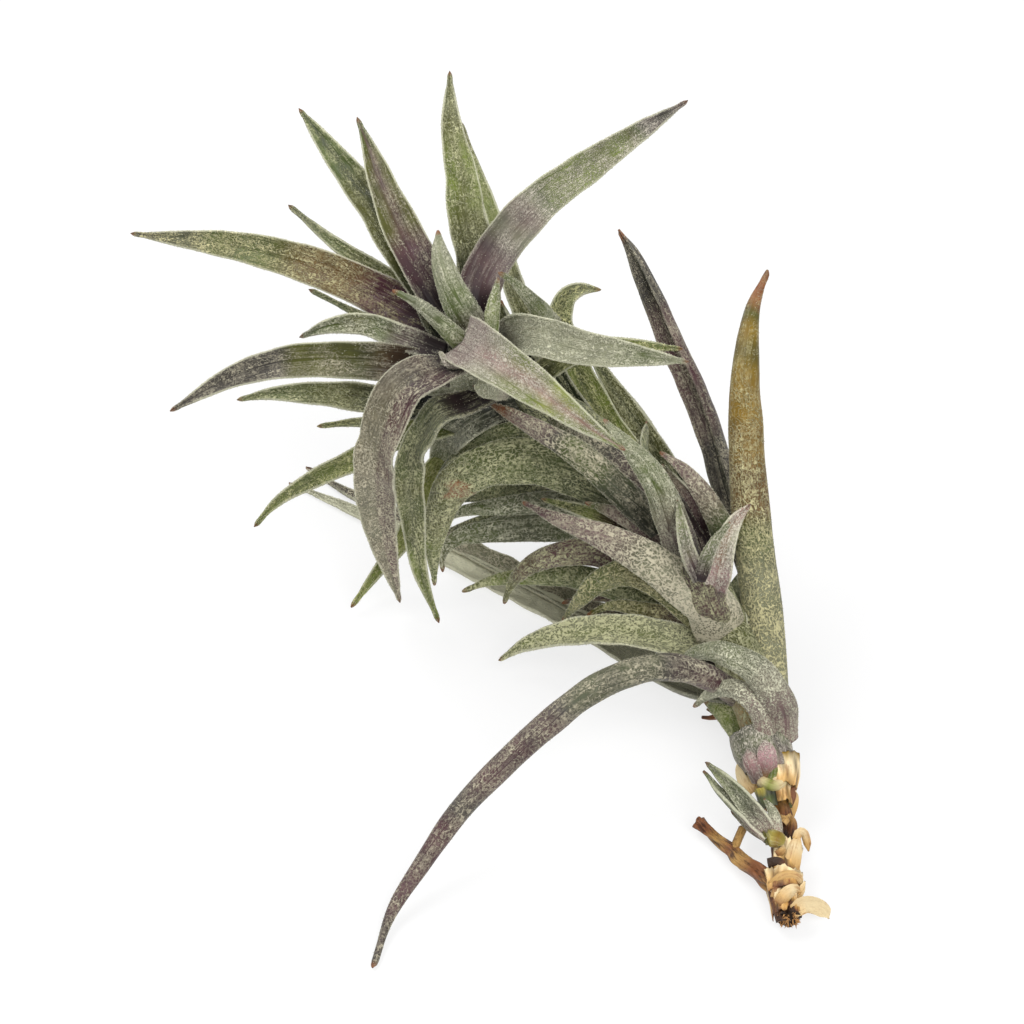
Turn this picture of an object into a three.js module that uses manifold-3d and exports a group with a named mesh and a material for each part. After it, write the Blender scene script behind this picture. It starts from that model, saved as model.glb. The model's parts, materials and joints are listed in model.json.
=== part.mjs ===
// A stemmed air plant, lying on a surface: a woody cut stub, a leafy stem that rises to a
// crown of recurved leaves, a side shoot halfway up, and a small pup beside the stub.
// Millimetres, +Z up. The plant rests on Z = 0, with the stub at -Y and the crown up and back.
import * as THREE from "three";
import { mergeVertices } from "three/addons/utils/BufferGeometryUtils.js";
import Module from "manifold-3d";

// ---- driving dimensions -------------------------------------------------------------------
const GAP = 0.3; // clearance between neighbouring pieces
const BLADE = 1.2; // thickness of a blade along its keel, at the root
const BLADE_TIP = 0.75; // thickness of a blade at its tip
const MARGIN = 0.6; // thickness of a blade at its edges
const TIP_WIDTH = 0.9; // width left at a blade's blunt tip
const KEEL = 0.35; // how far a blade's section leans from a round channel to a V
const BASE_STRETCH = 0.2; // part of the length over which a blade reaches its full width
const STATION_STEP = 8.3; // spacing of a blade's cross-sections along its length
const LEAST_STATIONS = 4;
const WIDE_BLADE = 4.5; // a wider blade gets one more point across
const FLAT_RATIO = 2.4; // a blade narrower than this many thicknesses loses its cup
const STEM_SIDES = 10;
const STEM_STEPS = 24;
const SHOOT_STEPS = 5;
const TWIG_SIDES = 7;
const TWIG_STEPS = 8;
const PRONG_STEPS = 2;
const KNOB_STEPS = 4;
const SHEATH_SIDES = 10;
const SHEATH_STEPS = 5;
const GROUND_DEPTH = 20; // depth of the block that trims what would sink below the surface
const GROUND_WIDTH = 400;
const ROUGHNESS = 0.75;
const ORIGIN = [-9.5, -25, 0]; // middle of the plant's footprint, in the frame of the routes

// Directions that a blade's hollow side faces, seen from above the stub end.
const FRONT = [0, -0.7, 0.7];
const BACK = [0, 0.7, -0.7];
const UP = [0, 0, 1];

const COLOURS = {
  green: "#66744c",
  olive: "#7b7846",
  bright: "#8b965a",
  purple: "#6f5f62",
  maroon: "#5c4048",
  silver: "#98a08c",
  grey: "#77806f",
  rose: "#8d7276",
  tan: "#a5805a",
  wood: "#9a744a",
  paper: "#cfae7f",
};

const wasm = await Module();
wasm.setup();

// ---- blades -------------------------------------------------------------------------------

// Width of a blade at s, 0 at the root and 1 at the tip.
function bladeWidth(leaf, s) {
  const { width, taper = 2.8, base = 0.85 } = leaf;
  const flare = base + (1 - base) * THREE.MathUtils.smoothstep(s, 0, BASE_STRETCH);
  return Math.max(TIP_WIDTH, width * flare * (1 - s ** taper));
}

// A blade's cross-section at s: points of the middle line and their half thickness.
function bladeSection(leaf, s, count) {
  const width = bladeWidth(leaf, s);
  const thick = THREE.MathUtils.lerp(BLADE, BLADE_TIP, s);
  const cup = THREE.MathUtils.degToRad(leaf.cup ?? 100) * Math.min(1, width / (FLAT_RATIO * thick));
  const radius = width / 2 / Math.sin(Math.min(cup / 2, Math.PI / 2));
  const middle = (radius * Math.sin(cup / 2)) / (cup / 2);
  const depth = radius * (1 - Math.cos(cup / 2));
  const fold = cup < Math.PI ? KEEL : 0;
  return Array.from({ length: count }, (_, k) => {
    const u = (2 * k) / (count - 1) - 1;
    const angle = (u * cup) / 2;
    const round = middle - radius * Math.cos(angle);
    const vee = middle - radius + depth * Math.abs(u);
    return {
      side: radius * Math.sin(angle),
      rise: THREE.MathUtils.lerp(round, vee, fold),
      lean: angle * (1 - fold) + Math.sign(u) * fold * Math.atan2(2 * depth, width),
      half: THREE.MathUtils.lerp(thick, MARGIN, u * u) / 2,
    };
  });
}

// Triangles of a closed skin between two grids of points, split alike on both faces.
function slabSolid(outer, inner) {
  const rows = outer.length;
  const columns = outer[0].length;
  const last = columns - 1;
  const positions = [...outer.flat(), ...inner.flat()].flatMap((p) => p.toArray());
  const at = (face, i, k) => face * rows * columns + i * columns + k;
  const triangles = [];
  const quad = (a, b, c, d) => triangles.push(a, b, c, a, c, d);
  for (let i = 0; i + 1 < rows; i += 1) {
    for (let k = 0; k + 1 < columns; k += 1) {
      quad(at(0, i, k), at(0, i, k + 1), at(0, i + 1, k + 1), at(0, i + 1, k));
      triangles.push(at(1, i, k), at(1, i + 1, k + 1), at(1, i, k + 1));
      triangles.push(at(1, i, k), at(1, i + 1, k), at(1, i + 1, k + 1));
    }
    quad(at(0, i, 0), at(0, i + 1, 0), at(1, i + 1, 0), at(1, i, 0));
    quad(at(0, i + 1, last), at(0, i, last), at(1, i, last), at(1, i + 1, last));
  }
  for (let k = 0; k + 1 < columns; k += 1) {
    quad(at(0, 0, k + 1), at(0, 0, k), at(1, 0, k), at(1, 0, k + 1));
    quad(at(0, rows - 1, k), at(0, rows - 1, k + 1), at(1, rows - 1, k + 1), at(1, rows - 1, k));
  }
  return outwardSolid(positions, triangles);
}

// The solid of these vertices and triangles, turned so that its faces point out.
function outwardSolid(positions, triangles) {
  const build = (indices) =>
    new wasm.Manifold(
      new wasm.Mesh({
        numProp: 3,
        vertProperties: new Float32Array(positions),
        triVerts: new Uint32Array(indices),
      }),
    );
  const solid = build(triangles);
  if (solid.volume() > 0) return solid;
  const turned = [];
  for (let i = 0; i < triangles.length; i += 3) {
    turned.push(triangles[i], triangles[i + 2], triangles[i + 1]);
  }
  return build(turned);
}

function routeCurve(route) {
  const points = route.map((p) => new THREE.Vector3(...p));
  return new THREE.CatmullRomCurve3(points, false, "centripetal");
}

// A blade swept along its route; clearance thickens it on every side.
function bladeSolid(leaf, clearance = 0) {
  const curve = routeCurve(leaf.route);
  const rows = Math.max(LEAST_STATIONS, Math.round(curve.getLength() / STATION_STEP)) + 1;
  const columns = leaf.width > WIDE_BLADE ? 5 : 4;
  const rootFace = new THREE.Vector3(...leaf.face);
  const tipFace = new THREE.Vector3(...(leaf.tipFace ?? leaf.face));
  const outer = [];
  const inner = [];
  for (let i = 0; i < rows; i += 1) {
    const s = i / (rows - 1);
    const tangent = curve.getTangentAt(s);
    const centre = curve.getPointAt(s);
    if (i === 0) centre.addScaledVector(tangent, -clearance);
    if (i === rows - 1) centre.addScaledVector(tangent, clearance);
    const face = rootFace.clone().lerp(tipFace, s);
    const normal = face.addScaledVector(tangent, -face.dot(tangent)).normalize();
    const across = new THREE.Vector3().crossVectors(tangent, normal);
    const place = (point, offset, k) => {
      const spread = k === 0 ? -clearance : k === columns - 1 ? clearance : 0;
      const [sine, cosine] = [Math.sin(point.lean), Math.cos(point.lean)];
      const side = point.side - sine * offset + cosine * spread;
      const rise = point.rise + cosine * offset + Math.abs(sine * spread);
      return centre.clone().addScaledVector(across, side).addScaledVector(normal, rise);
    };
    const section = bladeSection(leaf, s, columns);
    outer.push(section.map((point, k) => place(point, -point.half - clearance, k)));
    inner.push(section.map((point, k) => place(point, point.half + clearance, k)));
  }
  return slabSolid(outer, inner);
}

// ---- stems, twigs and sheaths ---------------------------------------------------------------

// A round rod along a route whose points carry their own radius: [x, y, z, radius].
function rodSolid(route, sides, steps, clearance = 0) {
  const curve = routeCurve(route.map((p) => p.slice(0, 3)));
  const radii = routeCurve(route.map((p, i) => [p[3], i, 0]));
  const frames = curve.computeFrenetFrames(steps, false);
  const positions = [];
  const triangles = [];
  for (let i = 0; i <= steps; i += 1) {
    const centre = curve.getPoint(i / steps);
    if (i === 0) centre.addScaledVector(frames.tangents[0], -clearance);
    if (i === steps) centre.addScaledVector(frames.tangents[steps], clearance);
    const radius = radii.getPoint(i / steps).x + clearance;
    for (let k = 0; k < sides; k += 1) {
      const angle = (2 * Math.PI * k) / sides;
      const point = centre
        .clone()
        .addScaledVector(frames.normals[i], radius * Math.cos(angle))
        .addScaledVector(frames.binormals[i], radius * Math.sin(angle));
      positions.push(...point.toArray());
    }
  }
  const ends = [curve.getPoint(0), curve.getPoint(1)];
  ends[0].addScaledVector(frames.tangents[0], -clearance);
  ends[1].addScaledVector(frames.tangents[steps], clearance);
  ends.forEach((end) => positions.push(...end.toArray()));
  const start = (steps + 1) * sides;
  for (let k = 0; k < sides; k += 1) {
    const next = (k + 1) % sides;
    for (let i = 0; i < steps; i += 1) {
      const a = i * sides;
      const b = a + sides;
      triangles.push(a + k, a + next, b + next, a + k, b + next, b + k);
    }
    triangles.push(start, next, k, start + 1, steps * sides + k, steps * sides + next);
  }
  return outwardSolid(positions, triangles);
}

const joined = (solids) => solids.reduce((whole, solid) => whole.add(solid));

// Main stem from the cut end to the crown, with the side shoot's stem and the dead twig.
const STEM_ROUTE = [
  [48, -103, 3, 2.1],
  [47.8, -97.4, 3, 2.1],
  [47.8, -92.4, 3.2, 2.1],
  [48.2, -86.4, 3.6, 1.9],
  [48.2, -81.2, 4.6, 1.8],
  [47.2, -76.6, 6, 2],
  [46.4, -72, 7.6, 2.6],
  [45.4, -67, 10, 3.4],
  [44, -61.5, 13, 4.2],
  [39, -45, 17, 4.6],
  [30.5, -29.5, 22, 4.6],
  [18.5, -12.5, 28, 4.4],
  [6, -10.5, 40, 4],
  [-3.5, -14, 56, 3],
];
const SHOOT_ROUTE = [
  [38.6, -46.4, 17, 4],
  [35, -48.8, 28, 3.6],
  [32.2, -48.4, 35, 2.4],
];
const TWIG_ROUTE = [
  [33.4, -80.8, 2.2, 1.1],
  [35, -82.8, 2.2, 1],
  [36.8, -85, 2.4, 0.9],
  [39.2, -87.8, 2.6, 1.1],
  [40.6, -90.2, 2.8, 1.3],
  [43, -92.4, 3, 1.4],
  [45.8, -96.6, 3.4, 1.2],
];
const PRONG_ROUTE = [
  [41.2, -83.2, 3.4, 0.8],
  [39.4, -87.6, 2.8, 0.8],
];

// Clasping leaf bases on the far side of the stem, from the sheath up to the crown.
const CLASP_COUNT = 7;
const CLASP_START = 0.4; // part of the stem's length
const CLASP_END = 0.86;
const CLASP_LENGTH = 19;
const CLASP_TURN = 62; // degrees that the bases turn to either side of the far side
const CLASP_WIDTH = 9;
const CLASP_CUP = 130;
const CLASP_STAND = [2.6, 4.2, 5.4, 10.1]; // distance of root, middle and tip from the stem's middle

function claspSolids(clearance) {
  const curve = routeCurve(STEM_ROUTE.map((p) => p.slice(0, 3)));
  return Array.from({ length: CLASP_COUNT }, (_, i) => {
    const at = THREE.MathUtils.lerp(CLASP_START, CLASP_END, i / (CLASP_COUNT - 1));
    const tangent = curve.getTangentAt(at);
    const turn = THREE.MathUtils.degToRad(CLASP_TURN * ((i % 3) - 1));
    const away = new THREE.Vector3(...BACK).applyAxisAngle(tangent, turn);
    away.addScaledVector(tangent, -away.dot(tangent)).normalize();
    const route = CLASP_STAND.map((distance, k) => {
      const along = (k * CLASP_LENGTH) / (CLASP_STAND.length - 1);
      return curve.getPointAt(at).addScaledVector(tangent, along).addScaledVector(away, distance).toArray();
    });
    const face = away.negate().toArray();
    return bladeSolid({ width: CLASP_WIDTH, cup: CLASP_CUP, face, route }, clearance);
  });
}

function stemSolid(clearance = 0) {
  return joined([
    rodSolid(STEM_ROUTE, STEM_SIDES, STEM_STEPS, clearance),
    ...claspSolids(clearance),
    rodSolid(SHOOT_ROUTE, STEM_SIDES, SHOOT_STEPS, clearance),
    rodSolid(TWIG_ROUTE, TWIG_SIDES, TWIG_STEPS, clearance),
    rodSolid(PRONG_ROUTE, TWIG_SIDES, PRONG_STEPS, clearance),
  ]);
}

// Papery collars round the stem: outer shapes, hollowed by the stem itself.
const UPPER_SHEATH_ROUTE = [
  [47.4, -79.6, 5.2, 2.7],
  [47, -76.6, 6, 2.8],
  [46.8, -74.4, 7, 3.2],
  [45.8, -72.4, 8.2, 4.6],
  [45, -69.6, 9.4, 5.6],
  [44.8, -67.6, 10.2, 5.5],
];
const LOWER_SHEATH_ROUTE = [
  [47.8, -101.6, 2.8, 3.1],
  [47.6, -97.2, 2.8, 3],
  [47.6, -93.6, 3.2, 2.9],
  [47.6, -90, 3.4, 3],
  [47.8, -87.2, 3.6, 3.1],
];

// ---- leaves: routes run from root to tip ------------------------------------------------------
// Blades that share a node grow from one point and are fused there.

const CROWN = [
  // Leaves that point left and up to the left, hollow side to the front.
  { node: "crown_leaf_left", width: 7.9, cup: 80, taper: 3.2, face: FRONT, colour: "olive",
    route: [[-5, -11, 53], [-10.5, -8.5, 54], [-16, -6, 56], [-32, 4, 58], [-49.5, 14.5, 56],
      [-74, 26.5, 50]] },
  { node: "crown_leaf_up_left", width: 7.1, cup: 90, taper: 3.8, face: FRONT, colour: "green",
    route: [[-5, -13, 55], [-11.5, -8.5, 56], [-15.5, -3, 61], [-20.5, 3.5, 65], [-26.5, 13, 69],
      [-34, 24, 72], [-40.5, 34.5, 74]] },
  { node: "crown_leaf_upper", width: 7.7, cup: 80, face: FRONT, colour: "purple",
    route: [[-9, -11.5, 58], [-15, -5, 65], [-19.5, 2.5, 69], [-23.5, 11, 73], [-26.5, 20.5, 75],
      [-29, 26.5, 78]] },
  { node: "crown_leaf_behind_left", width: 4.3, cup: 110, face: FRONT, colour: "green",
    route: [[-1.5, -7.5, 46], [-13.5, 1, 50], [-21.5, 6.5, 54], [-33, 15.5, 56], [-43, 26.5, 57]] },
  { node: "crown_leaf_behind_left", width: 2.3, cup: 90, face: FRONT, colour: "green",
    route: [[-1.5, -7.5, 46], [-13.5, 1, 50], [-18, 0, 48], [-25, 2.5, 48], [-39, 14.5, 46]] },
  { node: "crown_leaf_low_hook", width: 4.6, cup: 100, taper: 3.2, face: FRONT, colour: "grey",
    route: [[-12, -19.5, 60], [-20.5, -16, 61], [-27, -10.5, 59], [-33.5, -7.5, 56], [-39.5, -5, 51]] },
  { node: "crown_leaf_long_hook", width: 7, cup: 90, taper: 3.2, face: FRONT, colour: "purple",
    route: [[-11, -20, 56], [-21, -20, 58], [-29.5, -17, 56], [-40.5, -14, 53], [-51.5, -12.5, 48],
      [-63.5, -15.5, 42]] },
  { node: "crown_leaf_under_hook", width: 5.8, cup: 100, face: FRONT, colour: "green",
    route: [[-11.5, -15, 43], [-20.5, -15.5, 44], [-30, -12.5, 43], [-38, -9.5, 41], [-45.5, -7.5, 39],
      [-52, -7, 37]] },
  // Leaves that arch over at the front and hang down.
  { node: "crown_leaf_hanging_left", width: 8.9, cup: 85, taper: 3.4, face: UP, tipFace: FRONT,
    colour: "purple",
    route: [[-9, -19.5, 57], [-14, -28, 63], [-19, -31, 62], [-22.5, -34, 56], [-24.5, -33, 45],
      [-25, -30.5, 33], [-24, -29, 20], [-21.5, -28.5, 4]] },
  { node: "crown_leaf_hanging_middle", width: 6.3, cup: 100, taper: 3, face: UP, tipFace: FRONT,
    colour: "green",
    route: [[-2, -14.5, 47], [-8.5, -22.5, 50], [-13, -25.5, 51], [-15.5, -26, 47], [-18, -26, 41],
      [-19, -27, 34], [-18.5, -27, 25], [-17.5, -28.5, 13], [-14, -32, 2]] },
  { node: "crown_leaf_hanging_right", width: 6, cup: 90, face: FRONT, colour: "grey",
    route: [[0.5, -15, 44], [-4, -18.5, 45], [-8.5, -19, 42], [-12, -15.5, 34], [-14, -10.5, 22],
      [-14.5, -7.5, 10]] },
  { node: "crown_leaf_pale_base", width: 5.9, cup: 80, base: 1, taper: 4, face: BACK, colour: "silver",
    route: [[-2, -13.5, 46.5], [-7.5, -17, 50], [-12, -18.5, 51], [-17, -19, 50]] },
  { node: "crown_leaf_pale_base", width: 4.9, cup: 100, base: 1, taper: 8, face: BACK, colour: "silver",
    route: [[-1, -14, 47], [-2.5, -19.5, 52], [-5, -23.5, 55.5], [-7, -25, 57]] },
  { node: "crown_leaf_low_left", width: 4.9, cup: 110, taper: 3, face: FRONT, colour: "bright",
    route: [[-3, -9, 36], [-12.5, -16, 39], [-21, -18, 38], [-29, -20, 34], [-37, -19, 28],
      [-45, -17.5, 20], [-49.5, -18, 14]] },
  { node: "crown_leaf_low_left", width: 3.4, cup: 90, face: FRONT, colour: "silver",
    route: [[-3, -9, 36], [-12.5, -13.5, 37], [-20, -12.5, 35], [-28.5, -10, 34], [-37, -9, 32]] },
  { node: "crown_leaf_low_front", width: 5, cup: 110, taper: 3.4, face: FRONT, colour: "bright",
    route: [[2.5, -4.5, 34], [-8, -10.5, 30], [-16.5, -14.5, 22], [-20.5, -18.5, 12], [-25.5, -22.5, 7],
      [-31, -28, 2]] },
  // Upright and right-hand leaves of the crown.
  { node: "crown_leaf_upright", width: 8.1, cup: 90, taper: 2.6, face: FRONT, colour: "green",
    route: [[-3.5, -8, 50], [-5.5, -3, 53], [-6.5, 6.5, 60], [-8.5, 14, 64], [-9.5, 21.5, 68],
      [-11.5, 32, 72], [-12, 45, 75]] },
  { node: "crown_leaf_upper_right", width: 8.1, cup: 90, taper: 2.6, face: FRONT, colour: "rose",
    route: [[-6.5, -12, 58], [-6, -6.5, 64], [-2.5, 0, 68], [5, 8.5, 72], [14, 16.5, 74],
      [23.5, 25.5, 75], [33.5, 37, 74]] },
  { node: "crown_leaf_right", width: 7.8, cup: 90, base: 0.75, taper: 2.6, face: FRONT, colour: "silver",
    route: [[-2, -8.5, 52], [1.5, -13.5, 59], [6, -16.5, 61], [12, -19, 61], [21.5, -20, 60],
      [32, -18.5, 57]] },
  { node: "crown_leaf_right_behind", width: 4.6, cup: 90, taper: 2.6, face: FRONT, colour: "bright",
    route: [[1.5, -13, 46], [6, -14, 51], [13.5, -11.5, 54], [22.5, -12, 55], [31.5, -10.5, 53]] },
  { node: "crown_leaf_front_right", width: 3.6, cup: 90, base: 0.6, taper: 2, face: BACK, colour: "rose",
    route: [[-7.5, -20, 62.5], [-8.5, -24, 63], [-11, -25.5, 63], [-13, -22.5, 63]] },
  { node: "crown_leaf_front_right", width: 5.2, cup: 90, base: 1, taper: 8, face: FRONT, colour: "rose",
    route: [[-5, -11, 56], [-6.5, -16.5, 60.5], [-8, -22, 64.5]] },
  { node: "crown_leaf_front_right", width: 9.4, cup: 95, base: 1, taper: 2, face: FRONT, colour: "rose",
    route: [[-9, -21, 64.5], [-6.5, -26.5, 67.5], [-4, -30.5, 69], [0, -35, 69.5], [5.5, -39.5, 68.5],
      [12, -45, 67], [19.5, -49, 64]] },
  { node: "crown_leaf_small_right", width: 4.6, cup: 90, face: BACK, colour: "silver",
    route: [[1.5, -10, 46.5], [7, -4, 52], [6, -7.5, 58], [3.5, -10, 64.5], [0, -10, 69],
      [-2.5, -10, 71]] },
  // Young leaves at the heart of the crown.
  { node: "crown_heart", width: 6, cup: 120, taper: 3.4, face: BACK, colour: "silver",
    route: [[-6, -12.5, 57], [-6, -15.5, 61], [-9, -14.5, 66], [-11.5, -10, 69], [-13, -5, 71],
      [-13.5, 0.5, 72]] },
  { node: "crown_heart", width: 3.8, cup: 110, face: BACK, colour: "silver",
    route: [[-6, -12.5, 57], [-8.5, -20.5, 63], [-12.5, -19.5, 67], [-16.5, -15.5, 68],
      [-21.5, -11.5, 68]] },
  { node: "crown_heart", width: 3.6, cup: 90, face: BACK, colour: "silver",
    route: [[-6, -12.5, 57], [-4.5, -16, 60], [-3.5, -13.5, 65], [-2.5, -8, 68]] },
];

const STEM_LEAVES = [
  // Long leaves behind the stem, straight and side by side.
  { node: "stem_leaf_longest", width: 5, cup: 110, face: FRONT, colour: "green",
    route: [[32.5, -23.5, 20], [18, -13.5, 30], [8.5, -2.5, 38], [1.5, 13, 44], [-3.5, 34.5, 47],
      [-10.5, 62, 50]] },
  { node: "stem_leaf_hooked", width: 5.9, cup: 100, taper: 8, face: FRONT, colour: "bright",
    route: [[34, -23, 18], [24.5, -13.5, 25], [17.5, -6, 31], [12, 1.5, 38], [9, 5.5, 45], [9.5, 8, 47],
      [10.5, 9.5, 48.5], [13, 11, 49], [17, 11.5, 48.5]] },
  { node: "stem_leaf_straight", width: 6, cup: 100, face: FRONT, colour: "green",
    route: [[36, -22, 16], [26.5, -4.5, 23], [18, 6.5, 31], [13.5, 11, 37]] },
  { node: "stem_leaf_outer", width: 4.7, cup: 100, face: FRONT, colour: "grey",
    route: [[38, -20, 14], [29, -6, 20], [24.5, 1.5, 24], [18, 10.5, 28], [14, 15.5, 31]] },
  // Broad leaves that arch to the left and droop.
  { node: "stem_leaf_arched", width: 9.2, cup: 75, taper: 3, face: BACK, colour: "green",
    route: [[26.5, -30.5, 27], [16.5, -26.5, 34], [5, -24, 37], [-4, -23.5, 36], [-10.5, -23.5, 31],
      [-13.5, -23, 23], [-15, -22.5, 13], [-15, -23, 3]] },
  { node: "stem_leaf_arched_behind", width: 5.3, cup: 80, face: BACK, colour: "green",
    route: [[18.5, -13.5, 29], [6, -13, 34], [-3, -15.5, 35], [-9, -17, 32], [-13, -17, 26],
      [-14.5, -15.5, 17]] },
  { node: "stem_leaf_shaded", width: 7.5, cup: 60, taper: 5, face: BACK, colour: "green",
    route: [[24.5, -17, 20], [17, -11.5, 20], [9.5, -9.5, 19], [0.5, -10.5, 18.5], [-6, -10, 16],
      [-12, -8.5, 11.5]] },
  { node: "stem_leaf_shaded", width: 4.4, cup: 60, taper: 5, face: BACK, colour: "green",
    route: [[24.5, -17, 20], [19, -13, 16], [12, -10, 12], [3.5, -12, 12], [-4.5, -13.5, 11],
      [-13.5, -12.5, 7]] },
  { node: "stem_leaf_level", width: 4.8, cup: 90, face: BACK, colour: "grey",
    route: [[26, -21.5, 19], [15, -19.5, 21], [6.5, -18.5, 21], [-2.5, -18.5, 20], [-10, -17, 17],
      [-14, -15.5, 12]] },
  { node: "stem_leaf_low_arch", width: 7.3, cup: 90, taper: 3, face: BACK, colour: "grey",
    route: [[30, -28, 18.5], [24, -21.5, 15], [12, -17.5, 14], [3, -17, 13], [-4, -17, 12],
      [-11, -16.5, 9], [-13.5, -17, 5], [-13.5, -18.5, 2]] },
  // Rolled leaves that lie along the surface.
  { node: "ground_leaf_front", width: 5.8, cup: 150, taper: 3.4, face: UP, colour: "silver",
    route: [[41, -56.9, 8], [33.2, -50.1, 3.6], [24.2, -42.1, 2], [14.9, -33.9, 1.5], [5.4, -26.6, 1.2],
      [-16.1, -11.5, 0.9], [-31.3, -0.8, 0.8], [-45, 7.9, 0.4]] },
  { node: "ground_leaf_back", width: 5.3, cup: 150, taper: 3.4, face: UP, colour: "purple",
    route: [[37.7, -49.1, 9], [24.3, -37.1, 3.8], [13.1, -28.3, 2.2], [4.5, -21.8, 1.8],
      [-16.2, -6.8, 1.2], [-32.5, 4.2, 0.9], [-41.8, 12.5, 0.4]] },
  // Leaves on the hidden underside, which reach down to the surface.
  { node: "under_leaf_right", width: 5.5, cup: 80, face: UP, colour: "grey",
    route: [[32, -30, 19], [36, -18, 13], [38, -8, 4], [38.5, -1, 0.3]] },
  { node: "under_leaf_back", width: 6, cup: 80, face: UP, colour: "grey",
    route: [[14, -10, 29], [16, 1, 22], [18, 11, 8], [18, 19, 0.3]] },
  { node: "under_leaf_low", width: 5, cup: 80, face: UP, colour: "grey",
    route: [[41, -50, 14], [47, -44, 9], [50, -39, 3], [50.5, -34, 0.3]] },
];

const SHOOT_LEAVES = [
  { node: "shoot_leaf_left_tan", width: 5.5, cup: 90, taper: 2.6, face: BACK, colour: "tan",
    route: [[27, -37.5, 33], [20, -35, 40], [12.5, -30.5, 45], [5, -26, 47], [-0.5, -21.5, 47],
      [-5, -16, 45]] },
  { node: "shoot_leaf_left_broad", width: 8.5, cup: 75, taper: 2.2, face: BACK, colour: "purple",
    route: [[32.5, -37.5, 29], [25.5, -31.5, 36], [16, -24, 40], [9, -16, 40], [4.5, -8, 38]] },
  { node: "shoot_leaf_up", width: 6.3, cup: 90, taper: 2.6, face: BACK, colour: "silver",
    route: [[32, -46.5, 32], [28.5, -44, 42], [25.5, -40, 48], [20.5, -35, 52], [16.5, -29.5, 53]] },
  { node: "shoot_leaf_up_right", width: 4.6, cup: 90, taper: 2.6, face: BACK, colour: "purple",
    route: [[40, -37, 27], [37.5, -37, 35], [35, -35, 39], [31.5, -31.5, 42], [27, -27.5, 43]] },
  { node: "shoot_leaf_inner_purple", width: 4.1, cup: 90, face: FRONT, colour: "maroon",
    route: [[37, -36.5, 25], [34, -33, 32], [28, -22.5, 35]] },
  { node: "shoot_leaf_folded", width: 4.8, cup: 110, taper: 2.6, face: FRONT, colour: "rose",
    route: [[36.5, -51, 31], [37.5, -49.5, 40], [39.5, -46.5, 44], [42.5, -43, 45]] },
  { node: "shoot_leaf_low_purple", width: 4, cup: 90, face: BACK, colour: "purple",
    route: [[30, -39, 26], [25.5, -37, 31], [20, -34, 33], [13.5, -30.5, 33]] },
  { node: "shoot_leaf_low_green", width: 3.2, cup: 80, face: FRONT, colour: "bright",
    route: [[24, -31, 25], [16, -30, 29], [10.5, -28.5, 30], [5.5, -25.5, 29]] },
  { node: "shoot_heart", width: 3, cup: 90, face: FRONT, colour: "rose",
    route: [[33.5, -52, 35], [31, -50, 41], [30, -46, 44], [29.5, -42, 45]] },
  { node: "shoot_heart", width: 2.5, cup: 90, face: BACK, colour: "silver",
    route: [[33.5, -52, 35], [35.5, -51, 43], [38.5, -48.5, 46]] },
];

const LOWER_LEAVES = [
  { node: "lower_leaf_broad", width: 9.8, cup: 80, base: 1, taper: 1.5, face: BACK, colour: "purple",
    route: [[38.5, -50.5, 19], [35.5, -50.5, 27], [29, -49.5, 33], [23, -47, 36], [16, -43, 37],
      [8.5, -39, 37], [2, -32.5, 35]] },
  { node: "lower_leaf_arched", width: 6, cup: 90, taper: 2.6, face: BACK, colour: "olive",
    route: [[34.5, -49, 21], [28.5, -48, 28], [22.5, -45.5, 30], [16.5, -43.5, 26], [12.5, -43, 20],
      [9.5, -41.5, 13]] },
  { node: "lower_leaf_arched_behind", width: 5.8, cup: 90, taper: 2.6, face: BACK, colour: "green",
    route: [[32, -41.5, 19], [22, -38.5, 24], [15.5, -36.5, 26], [9, -36, 25], [3.5, -34, 20],
      [0, -33, 14], [-1.5, -32.5, 8]] },
  { node: "lower_leaf_slim", width: 5, cup: 90, face: BACK, colour: "green",
    route: [[31.5, -41, 14], [18.5, -36.5, 17], [11, -34, 17], [3.5, -32, 15], [-4, -29.5, 11],
      [-9.5, -28.5, 7]] },
  { node: "lower_leaf_folded", width: 6.3, cup: 110, taper: 3.4, face: [0, -0.4, 0.9], colour: "green",
    route: [[37, -50.5, 15], [29, -51, 18], [21.5, -49, 18], [14.5, -47, 16], [8, -45.5, 13],
      [2, -43.5, 8], [-2.5, -43.5, 4]] },
  { node: "lower_leaf_narrow", width: 3.3, cup: 80, face: BACK, colour: "olive",
    route: [[34.5, -45.5, 17], [26, -45, 19], [18.5, -42.5, 18], [14, -42, 15]] },
  { node: "lower_leaf_narrow", width: 4.4, cup: 70, face: BACK, colour: "olive",
    route: [[34.5, -45.5, 17], [29, -39, 11], [22, -33.5, 10.5], [15, -32, 9.5], [9.5, -32, 7.5]] },
  { node: "lower_leaf_clasping", width: 6.3, cup: 100, taper: 2.6, face: BACK, colour: "silver",
    route: [[49, -69.5, 11], [47.5, -68.5, 20], [44, -65.5, 25], [38.5, -62, 26], [34, -58.5, 23],
      [30, -56, 18]] },
  { node: "lower_leaf_small_hook", width: 4.1, cup: 100, taper: 2.6, face: BACK, colour: "silver",
    route: [[46, -71, 13], [44, -68.5, 19], [40.5, -66, 21], [36.5, -63.5, 18], [33, -62, 12]] },
  { node: "lower_leaf_left_bract", width: 6.2, cup: 90, taper: 2.2, face: BACK, colour: "green",
    route: [[44.5, -71, 7], [42.5, -66.5, 9], [39.5, -62, 9], [35.5, -56.5, 7]] },
];

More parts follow.
